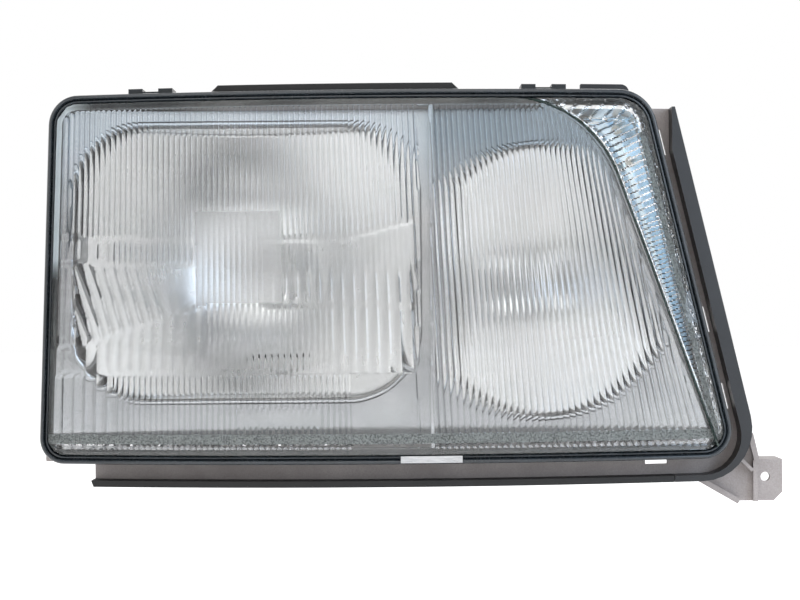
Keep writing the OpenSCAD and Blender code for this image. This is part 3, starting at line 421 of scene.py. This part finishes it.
def round_path(corners, radii, arc=14, side=22):
    """Points and outward directions round a polygon: an arc about each corner's centre, then points
    evenly spaced along the side to the next corner."""
    corners = np.asarray(corners, float)
    count = len(corners)
    ahead = np.roll(corners, -1, 0) - corners
    ahead /= np.linalg.norm(ahead, axis=1)[:, None]
    out = np.stack([ahead[:, 1], -ahead[:, 0]], 1)
    points, normals = [], []
    for k in range(count):
        a, b = out[k - 1], out[k]
        centre = corners[k] - (a + b) / (1 + a @ b) * radii[k]
        turn = math.acos(np.clip(a @ b, -1, 1)) * np.linspace(0, 1, arc)
        spin = np.stack([a[0] * np.cos(turn) - a[1] * np.sin(turn),
                         a[0] * np.sin(turn) + a[1] * np.cos(turn)], 1)
        points.append(centre + radii[k] * spin)
        normals.append(spin)
    path, way = [], []
    for k in range(count):
        path.append(points[k])
        way.append(normals[k])
        t = np.linspace(0, 1, side + 2)[1:-1, None]
        path.append(points[k][-1] * (1 - t) + points[(k + 1) % count][0] * t)
        way.append(np.repeat(out[k][None], side, 0))
    return np.concatenate(path), np.concatenate(way)


FACE = [(FACE_LEFT, BASE_Z), (FACE_RIGHT, BASE_Z),
        (FACE_RIGHT - FACE_H * math.tan(OUTER_LEAN), TOP_Z),
        (FACE_LEFT + FACE_H * math.tan(INNER_LEAN), TOP_Z)]
face_path, face_out = round_path(FACE, CORNER_RADII)


def end_of_face(step, z, outer):
    """x of the outline's outer or inner end at height z, after stepping the outline in. The top and the
    foot, whose outward direction has almost no x, are left out."""
    path = face_path - face_out * step
    middle = path[:, 0].mean()
    half = path[:, 0] > middle if outer else path[:, 0] < middle
    side = path[half & (face_out[:, 0] ** 2 > 1e-4)]
    side = side[np.argsort(side[:, 1], kind="stable")]
    return np.interp(z, side[:, 1], side[:, 0])


def sweep(name, section, path, out, materials, body="root", bent=True):
    """Carries a closed section round a closed path. A section point is (step in, depth): it moves
    against the outward direction by its step, and lies on the bent face at its depth, or at that y."""
    section = np.asarray(section, float)
    flat = path[:, None, :] - out[:, None, :] * section[None, :, :1]
    depth = np.repeat(section[None, :, 1], len(path), 0)
    y = surface(flat[..., 0], depth) if bent else depth
    points = np.stack([flat[..., 0], y, flat[..., 1]], -1)
    return make(name, points, cells(len(path), len(section), True, True), materials, body)


print("face outline", len(face_path), "points,", FACE_W, "by", FACE_H, "mm")

# %% [markdown]
# ## The black frame
# The real frame is a moulding with two rounded beads and a groove between them, which catch the light as
# two lines. Its section is drawn once, in step in and depth, and carried round the outline.

# %% Frame and the rim of the glass
FRAME_W, FRAME_BACK, FRAME_FRONT = 5.05, 20.0, 8.0


def half_round(middle, reach, base, rise):
    """A bead of the section: half an ellipse that stands toward the front on its base depth."""
    turn = np.linspace(0, math.pi, 9)
    return np.stack([middle - reach * np.cos(turn), base - rise * np.sin(turn)], 1)


frame_section = np.concatenate([
    [(0.0, FRAME_BACK), (0.0, FRAME_FRONT)], half_round(1.45, 1.4, 4.2, 2.1),
    half_round(3.9, 0.95, 4.6, 1.5), [(FRAME_W, FRAME_FRONT), (FRAME_W, FRAME_BACK)]])
frame_piece = sweep("frame_moulding", frame_section, face_path, face_out, frame_plastic)
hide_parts("lens_frame")

GLASS_IN, GLASS_T = 5.5, 3.5
RIM_W, RIM_FRONT, RIM_BACK, RIM_CHAMFER = 3, 3.8, 13.9, 0.5
rim_section = [(GLASS_IN, RIM_BACK), (GLASS_IN, RIM_FRONT), (GLASS_IN + RIM_W, RIM_FRONT),
               (GLASS_IN + RIM_W, RIM_BACK - RIM_CHAMFER), (GLASS_IN + RIM_W - RIM_CHAMFER, RIM_BACK)]
rim_piece = sweep("glass_rim", rim_section, face_path, face_out, rim_glass)

# %% [markdown]
# ## The curved line
# Between the fog lamp and the corner a rib of the glass runs up, leaning inwards by twenty degrees, and
# bends over into the top edge. Its shape is a straight line joined to an arc, and everything on either
# side of it is bounded by that curve, so one function gives its x at any height.

# %% Line between fog lamp and corner
LINE_LEAN, LINE_BEND = math.radians(20.3), 65.0
LINE_FOOT_X, LINE_FOOT_Z, LINE_TOP = FACE_RIGHT - 16.5, BASE_Z + 17, TOP_Z - 4.5


def line_x(z, grow=0.0):
    """Straight below the tangent point; above it the arc about (cx, cz): x = cx + sqrt(r^2 - (z - cz)^2)."""
    z = np.asarray(z, float)
    straight = LINE_FOOT_X - (z - LINE_FOOT_Z) * math.tan(LINE_LEAN) + grow / math.cos(LINE_LEAN)
    cz = LINE_TOP - LINE_BEND
    cx = LINE_FOOT_X - (cz - LINE_FOOT_Z) * math.tan(LINE_LEAN) - LINE_BEND / math.cos(LINE_LEAN)
    r = LINE_BEND + grow
    arc = cx + np.sqrt(np.maximum(r * r - (z - cz) ** 2, 0))
    return np.where(z < cz + r * math.sin(LINE_LEAN), straight, arc)


# %% [markdown]
# ## The fluted cover
# The inner face of the glass carries its optics: some hundred upright flutes that spread the beam, wide
# slanted ones that throw light to the kerb, bands of finer ones, a plain pad, and sharp prisms in the
# corner. They could be bump in a material, but real flutes bend what is behind them, so here they are
# geometry. The sheet is a grid: each column follows one flute from top to bottom, fanned so that the outer
# ones lie along the curved line, and each row holds one height. The inner face is pushed back by a
# relief that depends on where the point is.

# %% Columns that follow the flutes
LINE_W = 1.7
STEPS = 4
FLUTE_MAIN, FLUTE_FOG = 3.1, 3.2
DIVIDER = -192.0
main_count, fog_count = 71, 54
main_turns = np.arange(main_count, 0, -1 / STEPS)
fog_turns = np.arange(0, fog_count + 0.01, 1 / STEPS)
base = np.concatenate([DIVIDER - FLUTE_MAIN * main_turns, DIVIDER + FLUTE_FOG * fog_turns])
turns = np.concatenate([-main_turns, fog_turns])
FAN_X = (-410, -290, -192, -150, -120, -90, -60, -20)
FAN_LEAN = (-0.038, 0.0, 0.044, 0.075, 0.11, 0.18, 0.30, 0.37)
FAN_Z = 116.5
low_z, high_z = BASE_Z + GLASS_IN, TOP_Z - GLASS_IN
DENSE_LOW, DENSE_HIGH, FOOT_LIP = low_z + 12, high_z - 15, (63.0, 63.8)
rows = np.unique(np.round(np.concatenate([
    np.linspace(low_z, DENSE_LOW, 17), np.linspace(DENSE_LOW, DENSE_HIGH, 118),
    np.linspace(DENSE_HIGH, high_z, 21), FOOT_LIP]), 3))
Z = np.repeat(rows[:, None], len(base), 1)
X = base[None, :] + np.interp(base, FAN_X, FAN_LEAN)[None, :] * (FAN_Z - Z)
left_end = end_of_face(GLASS_IN, rows, False)[:, None]
right_end = np.minimum(end_of_face(GLASS_IN, rows, True), line_x(rows, -LINE_W / 2))[:, None]
inside = np.minimum(np.minimum(X - left_end, right_end - X), np.minimum(Z - low_z, high_z - Z))
X = np.clip(X, left_end, right_end)


# %% Relief of the inner face
LAMP_END = DIVIDER - 9
BAND, PILLOWS, PAD = (-392, -316), (-322.4, -285.5), (-300.5, -255.4)
PILLOW_TOP, PAD_LOW, PAD_HIGH, FOOT_TOP = 153.2, 34.2, 43.4, 63.4
SLANT, SLANT_PITCH, PILLOW_PITCH = math.tan(math.radians(15)), 6.2, 2.9
LIP, LIP_HALF = 0.45, 0.8


def hump(t):
    """One flute from t = 0 to 1, and again: the parabola 4 p (1 - p) of the part p of t after the point."""
    p = t - np.floor(t)
    return 4 * p * (1 - p)


def between(v, low, high):
    return (v > low) & (v < high)


def lower_edge(x):
    """Height of the line under the main beam's flutes."""
    return np.interp(x, (-389, -316, -240, -192), (78.8, 102.3, 101.8, 98.6))


def relief(x, z, turn):
    """Height in mm of the flutes over the plain inner face, zone by zone; a later zone wins."""
    narrow, wide = hump(turn), hump(turn / 2)
    lamp = x < LAMP_END
    upper = np.interp(x, (-401, -324, -285, -243, -199), (140.3, 136.6, 137.4, 137.0, 148.2))
    middle = np.interp(x, BAND, (125.4, 123.6))
    lower = lower_edge(x)
    h = 0.42 * narrow
    # Beyond the pillows the wide flutes grow as they run down
    grown = np.clip((124 - z) / 10, 0, 1)
    h = np.where(between(x, PILLOWS[1], LAMP_END) & (z < upper), 0.12 * narrow + 0.45 * wide * grown, h)
    # The inner band, and in it the slanted flutes that throw light to the kerb
    h = np.where(between(x, *BAND) & (z < upper), np.where(x < -368.5, 0.5 * wide, 0.5 * narrow), h)
    slanted = hump((x + z * SLANT) / SLANT_PITCH) * np.clip((-330 - x) / 14, 0, 1)
    h = np.where(between(x, BAND[0], -322) & (z < middle), 0.85 * slanted, h)
    # The block of fine pillows before the bulb
    block = between(x, *PILLOWS) & between(z, lower, PILLOW_TOP)
    h = np.where(block, 0.3 * narrow + 0.12 * hump(z / PILLOW_PITCH), h)
    # What lies under the lower line, the foot with its plain pad, and the lips between the zones
    h = np.where((z < lower) & lamp,
                 np.select([x < -318, x < -246], [0.5 * wide, 0.3 * narrow], 0.55 * wide), h)
    h = np.where((z < FOOT_TOP) & lamp,
                 np.select([x < -369.5, x < -237], [0.9 * wide, 0.6 * narrow], 0.0), h)
    h = np.where(between(x, *PAD) & between(z, PAD_LOW, PAD_HIGH), 0.35, h)
    lip = (np.abs(z - upper) < LIP_HALF) | (np.abs(z - lower) < LIP_HALF)
    lip |= (np.abs(z - middle) < LIP_HALF) & (x < BAND[1])
    h = np.where(lip & lamp & ~block, LIP, h)
    h = np.where(between(z, FOOT_TOP - 0.5, FOOT_TOP + 0.5) & (x < -240), LIP, h)
    # The divider is plain, and the fog lamp has one kind of flute
    h = np.where(between(x, DIVIDER - 7.4, DIVIDER - 0.4), 0.0, h)
    return np.where(x > DIVIDER, 0.5 * narrow, h)


turn_grid = np.repeat(turns[None, :], len(rows), 0)
H = relief(X, Z, turn_grid) * np.clip((inside - 2.5) / 1.5, 0, 1)
stipple = np.random.default_rng(7).normal(0, 0.12, X.shape)
FOOT_LOW, FOOT_HIGH = BASE_Z + 11.2, BASE_Z + 16.4
dark_band = between(Z, FOOT_LOW, FOOT_HIGH)
H = np.where(dark_band & (inside > 0.5), stipple, H)
print("flutes:", main_count + fog_count, "relief up to", round(float(H.max()), 2), "mm")


# %% Closing the sheet
def plate(name, x, z, h, materials, pick, thick=GLASS_T, front_step=9):
    """A closed sheet: its inner face is the whole grid pushed back by h, its outer face takes every few
    rows of it, and walls join the two round the edge. Points that the outline has pressed together are
    merged. pick gives, for each place on the inner face, which of the materials its face takes."""
    count, cols = x.shape
    inner = np.stack([x, surface(x, thick) + h, z], -1)
    keep = np.unique(np.append(np.arange(0, count, front_step), count - 1))
    outer = np.stack([x[keep], surface(x[keep], 0.0), z[keep]], -1)
    start = count * cols
    quads = cells(count, cols).tolist()
    quads += (cells(len(keep), cols)[:, ::-1] + start).tolist()
    for near, far in ((0, 0), (count - 1, len(keep) - 1)):
        a = near * cols + np.arange(cols - 1)
        b = start + far * cols + np.arange(cols - 1)
        quads += np.stack([a, b, b + 1, a + 1], -1).tolist()
    for col in (0, cols - 1):
        for k in range(len(keep) - 1):
            back = [int(i) * cols + col for i in range(keep[k], keep[k + 1] + 1)]
            quads.append(back + [start + (k + 1) * cols + col, start + k * cols + col])
    points = np.concatenate([inner.reshape(-1, 3), outer.reshape(-1, 3)])
    piece = make(name, points, quads, materials, merge=0.02)
    mesh = piece.data
    centre = face_centres(mesh)
    behind = centre[:, 1] > surface(centre[:, 0], thick * 0.6)
    index = (pick(centre[:, 0], centre[:, 2]) * behind).astype(np.int32)
    mesh.polygons.foreach_set("material_index", index)
    mesh.update()
    return piece


def foot_band(x, z):
    """1 on the stippled strip along the foot, 2 on the block of fine pillows before the bulb."""
    pillows = between(x, PILLOWS[0], -275.0) & between(z, lower_edge(x), PILLOW_TOP)
    return np.where(between(z, FOOT_LOW, FOOT_HIGH), 1, np.where(pillows, 2, 0))


cover = plate("fluted_cover", X, Z, H, [pressed_glass, stippled_glass, pillow_glass], foot_band)
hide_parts("lens")

# %% [markdown]
# ## Corner prisms
# The corner of the cover has prisms instead of flutes. At the top they are wide and slope at 45 degrees;
# further down they are finer and nearly level. A prism is a saw tooth: it rises slowly and drops at once.

# %% Corner of the cover
CORNER_FOOT, CORNER_PLAIN, GROOVE = 24.0, 0.8, 6.5
corner_rows = np.linspace(CORNER_FOOT, high_z, 270)
corner_left = line_x(corner_rows, LINE_W / 2)
corner_right = end_of_face(GLASS_IN, corner_rows, True)
corner_left = np.minimum(corner_left, corner_right)
share = np.linspace(0, 1, 52)
CX = corner_left[:, None] + (corner_right - corner_left)[:, None] * share[None, :]
CZ = np.repeat(corner_rows[:, None], len(share), 1)
# Each zone: the height it starts at, the slope of its prisms and their pitch
ZONES = ((203, 1.0, 7.5), (148, 0.46, 3.9), (-1, 0.32, 2.8))
tooth = np.select([CZ > start for start, _, _ in ZONES],
                  [(CZ - slope * CX) / pitch for _, slope, pitch in ZONES])
tooth = tooth - np.floor(tooth)
edge_gap = np.minimum(np.minimum(CX - corner_left[:, None], corner_right[:, None] - CX), high_z - CZ)
CH = np.where(edge_gap > CORNER_PLAIN, 0.2 + 0.9 * tooth, 0.0)
groove = (corner_right[:, None] - CX) < GROOVE
CH = np.where(groove & (edge_gap > CORNER_PLAIN), np.random.default_rng(8).normal(0.1, 0.15, CX.shape), CH)


def corner_band(x, z):
    """The stippled strip along the outer end, and the foot of the corner."""
    gap = end_of_face(GLASS_IN, z, True) - x
    return (between(gap, 3.0, GROOVE) & (z < 196)) | (z < CORNER_FOOT + 3)


corner_cover = plate("corner_prisms", CX, CZ, CH, [pressed_glass, stippled_glass], corner_band, front_step=6)

# %% The dark green line
LINE_HALF = LINE_W / 2 - 0.03
line_rows = np.linspace(20.0, high_z, 90)
line_mid = line_x(line_rows)
ring = np.linspace(0, 2 * math.pi, 12, endpoint=False)
run = np.stack([np.gradient(line_mid), np.gradient(line_rows)], 1)
run /= np.linalg.norm(run, axis=1)[:, None]
across = np.stack([run[:, 1], -run[:, 0]], 1)
LX = line_mid[:, None] + across[:, :1] * LINE_HALF * np.cos(ring)[None, :]
LZ = line_rows[:, None] + across[:, 1:] * LINE_HALF * np.cos(ring)[None, :]
LY = surface(LX, 2.6) + 2.4 * np.sin(ring)[None, :]
line_points = np.stack([LX, LY, np.minimum(LZ, high_z)], -1)
line_piece = make("corner_line", line_points, tube_faces(len(line_rows), len(ring)), edge_glass)

# %% [markdown]
# ## Silvered bowls
# Each CAD bowl is made of short cones, which a mirror would show as rings. The film of aluminium on it is
# modelled as its own thin shell that follows the true parabola, depth = r squared over 4 f, from the neck
# out to the opening, and then the wall up to the rim. Angle and distance are its two parameters.

# %% Shells that follow the parabola
FILM_BACK, FILM, FILLET = 0.35, 0.3, 0.6


def bowl_film(name, x0, z0, focal, vertex, neck, rim, reach, body, angles=288, across=46, up=8):
    """reach gives the opening's distance at each angle. The profile runs out along the parabola, turns
    with a small fillet up the wall to the rim, and comes back a film's thickness behind itself."""
    a = np.linspace(0, 2 * math.pi, angles, endpoint=False)
    far = reach(a)
    lines = []
    for off in (FILM_BACK + FILM, FILM_BACK):
        t = np.linspace(0, 1, across) ** 0.9
        r = neck + (far[:, None] - off - FILLET - neck) * t[None, :]
        y = vertex - r ** 2 / (4 * focal) - off
        wall_r = np.repeat(far[:, None] - off, up, 1)
        start = y[:, -1:] - 2 * FILLET
        wall_y = start + (rim - start) * np.linspace(0, 1, up)[None, :]
        lines.append((np.concatenate([r, wall_r], 1), np.concatenate([y, wall_y], 1)))
    r = np.concatenate([lines[0][0], lines[1][0][:, ::-1]], 1)
    y = np.concatenate([lines[0][1], lines[1][1][:, ::-1]], 1)
    points = np.stack([x0 + r * np.cos(a)[:, None], y, z0 + r * np.sin(a)[:, None]], -1)
    piece = make(name, points, cells(angles, r.shape[1], True, True), silver, body, sharp=math.radians(40))
    return piece


MAIN_X, MAIN_Z, MAIN_W, MAIN_H, MAIN_CORNER = -296.312, 125.4, 96.812, 77.7, 40.0
MAIN_F, MAIN_VERTEX, MAIN_RIM, MAIN_NECK = 36.0, 76.8189, -9.9, 19.7
MAIN_CORNERS = np.array([(-MAIN_W, -MAIN_H), (MAIN_W, -MAIN_H), (MAIN_W, MAIN_H), (-MAIN_W, MAIN_H)])
FOG_X, FOG_Z, FOG_R = -130.0, 114.0, 77.0
FOG_F, FOG_VERTEX, FOG_RIM, FOG_NECK = 20.0, 66.1125, -7.9, 10.7


def main_reach(a):
    """Distance from the centre to a rectangle with round corners, found along its outline by angle."""
    path, _ = round_path(MAIN_CORNERS, [MAIN_CORNER] * 4, 40, 60)
    angle = np.arctan2(path[:, 1], path[:, 0]) % (2 * math.pi)
    order = np.argsort(angle)
    return np.interp(a, angle[order], np.hypot(path[:, 0], path[:, 1])[order], period=2 * math.pi)


def fog_reach(a):
    """The least of: the circle, the flat wall by the divider, the leaning side and its bend."""
    side, step = FOG_X - (DIVIDER + 7.5), 8.5
    lean = (line_x(FOG_Z, -step) - FOG_X) * math.cos(LINE_LEAN) / np.maximum(np.cos(a - LINE_LEAN), 1e-3)
    cz = LINE_TOP - LINE_BEND
    cx = line_x(cz) - LINE_BEND / math.cos(LINE_LEAN)
    wx, wz = FOG_X - cx, FOG_Z - cz
    dot = np.cos(a) * wx + np.sin(a) * wz
    bend = -dot + np.sqrt(np.maximum(dot ** 2 - wx ** 2 - wz ** 2 + (LINE_BEND - step) ** 2, 0))
    upper = (a > math.radians(59.1)) & (a < math.pi)
    outer = np.where(upper, bend, np.where(np.cos(a - LINE_LEAN) > 1e-3, lean, 1e3))
    inner = np.where(np.cos(a) < -1e-3, side / np.maximum(-np.cos(a), 1e-3), 1e3)
    return np.minimum(np.minimum(FOG_R, outer), inner)


bowl_film("main_silvering", MAIN_X, MAIN_Z, MAIN_F, MAIN_VERTEX, MAIN_NECK, MAIN_RIM, main_reach,
          "main_reflector")
bowl_film("fog_silvering", FOG_X, FOG_Z, FOG_F, FOG_VERTEX, FOG_NECK, FOG_RIM, fog_reach,
          "fog_reflector")

# %% Corner silvering
DISH_FLOOR, DISH_WALL = -6.5, 0.3
# The corner silvering is tinted pale blue: a painted reflection of the blue light from the outer side
silver_with_painted_blue_reflection = silver.copy()
silver_with_painted_blue_reflection.name = "aluminium_with_painted_blue_reflection"
painted_blue_reflection_tint = next(n for n in silver_with_painted_blue_reflection.node_tree.nodes if n.type == "VALTORGB")
for stop, tone in zip(painted_blue_reflection_tint.color_ramp.elements, ("#c9dfee", "#dcecf7")):
    stop.color = linear(tone)
dish_z = np.linspace(44.0, TOP_Z - 11.4, 120)
dish_left = line_x(dish_z, 2.4)
dish_right = end_of_face(11.3, dish_z, True)
u = np.linspace(0, 1, 44)
DX = dish_left[:, None] + (dish_right - dish_left)[:, None] * u[None, :]
DZ = np.repeat(dish_z[:, None], len(u), 1)
width = (dish_right - dish_left)[:, None]
from_line, from_end = width * u[None, :], width * (1 - u[None, :])
forward = 20 * np.maximum(0, 1 - from_line / np.minimum(16, width * 0.45)) ** 2
forward = forward + 14 * np.maximum(0, 1 - from_end / np.minimum(9, width * 0.4)) ** 2
DY = DISH_FLOOR - forward
dish = np.concatenate([np.stack([DX, y, DZ], -1).reshape(-1, 3) for y in (DY, DY + DISH_WALL)])
count, cols = DX.shape
back = count * cols
dish_faces = cells(count, cols).tolist() + (cells(count, cols)[:, ::-1] + back).tolist()
edge_loop = np.concatenate([np.arange(cols - 1), np.arange(cols - 1, back - 1, cols),
                            np.arange(back - 1, (count - 1) * cols, -1),
                            np.arange((count - 1) * cols, 0, -cols)])
loop_next = np.roll(edge_loop, -1)
dish_faces += np.stack([edge_loop, loop_next, loop_next + back, edge_loop + back], -1).tolist()
corner_dish = make("corner_silvering", dish, dish_faces, silver_with_painted_blue_reflection, sharp=math.radians(50))

# %% [markdown]
# ## Rolled edges of the mask
# The mask is pressed steel, and the edges of its windows are rolled forward, which shows as a bright bead
# round each bowl. A round section is carried round each window, half sunk in the mask.

# %% Beads round the two windows
MASK_FRONT, BEAD_R = -26.0, 1.2
roll = np.linspace(0, 2 * math.pi, 14, endpoint=False)
bead_section = np.stack([-1.1 + BEAD_R * np.cos(roll), MASK_FRONT - 0.2 + BEAD_R * np.sin(roll)], 1)
main_window, main_window_out = round_path(MAIN_CORNERS + (MAIN_X, MAIN_Z), [MAIN_CORNER] * 4, 20, 30)
window_angle = np.linspace(0, 2 * math.pi, 240, endpoint=False)
window_far = fog_reach(window_angle)
fog_window = np.stack([FOG_X + window_far * np.cos(window_angle),
                       FOG_Z + window_far * np.sin(window_angle)], 1)
fog_tangent = np.roll(fog_window, -1, 0) - np.roll(fog_window, 1, 0)
fog_tangent /= np.linalg.norm(fog_tangent, axis=1)[:, None]
fog_window_out = np.stack([fog_tangent[:, 1], -fog_tangent[:, 0]], 1)
for name, path, out in (("main_window_bead", main_window, main_window_out),
                        ("fog_window_bead", fog_window, fog_window_out)):
    piece = sweep(name, bead_section, path, out, mask_paint, bent=False)

# %% [markdown]
# ## Filaments
# A headlight bulb has two coiled tungsten filaments on stiff wires, and a cup under the dipped one. They
# are small, but they are what the eye finds at the bottom of the bowl. A coil is a tube carried along a
# helix: angle and distance along its axis grow together.


# %% Wire, coil and cup
WIRE_SHARP = math.radians(60)
FILAMENT_R, POST_R, POST_APART = 0.16, 0.35, 2.2
CUP_R, CUP_LONG, CUP_WALL = 2.6, 8, 0.25


def wire(name, path, radius, reference, material, body, sides=8):
    """A round tube along a path of points, with flat ends. The reference direction is never along it."""
    path = np.asarray(path, float)
    along = np.gradient(path, axis=0)
    along /= np.linalg.norm(along, axis=1)[:, None]
    one = np.cross(along, np.asarray(reference, float))
    one /= np.linalg.norm(one, axis=1)[:, None]
    two = np.cross(along, one)
    a = np.linspace(0, 2 * math.pi, sides, endpoint=False)
    points = path[:, None] + radius * (one[:, None] * np.cos(a)[:, None] + two[:, None] * np.sin(a)[:, None])
    return make(name, points, tube_faces(len(path), sides), material, body, sharp=WIRE_SHARP)


def coil(x, y, z, length, radius, turns_count, axis):
    """A helix about an axis along Y or X, centred on a point."""
    t = np.linspace(0, 1, turns_count * 12)
    a = 2 * math.pi * turns_count * t
    run, one, two = (t - 0.5) * length, radius * np.cos(a), radius * np.sin(a)
    return np.stack([x + one, y + run, z + two] if axis == "y" else [x + run, y + one, z + two], -1)


main_low, main_high = (np.array(v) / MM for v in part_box("bulb_glass"))
fog_low, fog_high = (np.array(v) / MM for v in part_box("fog_bulb_glass"))
bulb_y = (main_low[1] + main_high[1]) / 2
for name, y, drop in (("main_beam_filament", bulb_y + 4, 0.0), ("dipped_filament", bulb_y - 5, 1.0)):
    helix = coil(MAIN_X, y, MAIN_Z + drop, 5.5, 0.8, 11, "y")
    wire(name, helix, FILAMENT_R, (0, 1, 0.01), tungsten, "main_reflector")
for name, x in (("filament_post_inner", -POST_APART), ("filament_post_outer", POST_APART)):
    path = np.stack([np.full(12, MAIN_X + x), np.linspace(bulb_y - 8, main_high[1] - 2, 12),
                     np.full(12, MAIN_Z - 0.6)], -1)
    wire(name, path, POST_R, (1, 0, 0), tungsten, "main_reflector")
cup_a, cup_s = np.meshgrid(np.radians(np.linspace(200, 340, 22)), np.linspace(0, 1, 12), indexing="ij")
cup_r = CUP_R * np.sqrt(np.clip(1 - (1 - np.minimum(cup_s * 4, 1)) ** 2, 0.04, 1))
cup = np.stack([MAIN_X + cup_r * np.cos(cup_a), bulb_y - 9.5 + CUP_LONG * cup_s,
                MAIN_Z + 1 + cup_r * np.sin(cup_a)], -1)
cup_piece = make("dipped_beam_cup", cup, cells(22, 12), tungsten, "main_reflector", sharp=WIRE_SHARP)
wall = cup_piece.modifiers.new("wall", "SOLIDIFY")
wall.thickness = CUP_WALL * MM
fog_bulb_y = (fog_low[1] + fog_high[1]) / 2
fog_helix = coil(FOG_X, fog_bulb_y, FOG_Z, 5.0, 0.7, 9, "x")
wire("fog_filament", fog_helix, FILAMENT_R, (1, 0, 0.01), tungsten, "fog_reflector")

# %% [markdown]
# ## Finishes for the CAD parts
# Every CAD part keeps its shape and takes the finish of its real material. Two take a second one by
# place: the clips on the top edge are blackened, and the housing is black along a ridge near the corner.

# %% Dress every CAD node
MID_Z, RIDGE, RIDGE_BACK, RIDGE_DOWN = 100, (-112, -60), 20, 4
DRESS = {
    housing_plastic: ["housing"],
    rubber: ["lens_seal", "top_seal", "bottom_seal", "main_cap_gasket", "fog_cap_gasket", "breather_cap"],
    black_plastic: ["side_rail", "bulb_connector", "parking_holder", "fog_connector", "main_cap", "fog_cap",
                    "lamp_socket"],
    frame_plastic: ["lens_frame"],
    spring_steel: ["lens_clips", "bulb_base", "bulb_spring", "fog_spring", "fog_bulb_base"],
    mask_paint: ["inner_mask"],
    silver: ["corner_reflector", "main_reflector", "fog_reflector"],
    zinc: ["corner_screws", "height_stud", "side_stud", "fog_stud", "pivot_ball", "pivot_stud",
           "fog_pivot_studs"],
    nylon: ["ball_sockets", "fog_sockets", "height_knob", "side_knob", "fog_knob"],
    bulb_glass: ["bulb_glass", "fog_bulb_glass"],
    milky_glass: ["parking_bulb"],
    pressed_glass: ["lens"],
    brass: ["socket_pins"],
    sheath: ["main_lead", "fog_lead"],
}
dressed = set()
for material, names in DRESS.items():
    for name in names:
        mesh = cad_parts[name].data
        mesh.materials.clear()
        mesh.materials.append(material)
        dressed.add(name)
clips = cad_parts["lens_clips"].data
clips.materials.append(blackened)
on_top = face_centres(clips)[:, 2] > MID_Z
clips.polygons.foreach_set("material_index", on_top.astype(np.int32))
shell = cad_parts["housing"].data
shell.materials.append(black_plastic)
x, y, z = face_centres(shell).T
ridge = between(x, *RIDGE) & (y < RIDGE_BACK) & (z > TOP_Z - RIDGE_DOWN)
shell.polygons.foreach_set("material_index", ridge.astype(np.int32))
print("dressed", len(dressed), "of", len(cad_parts), "left:", sorted(set(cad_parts) - dressed))
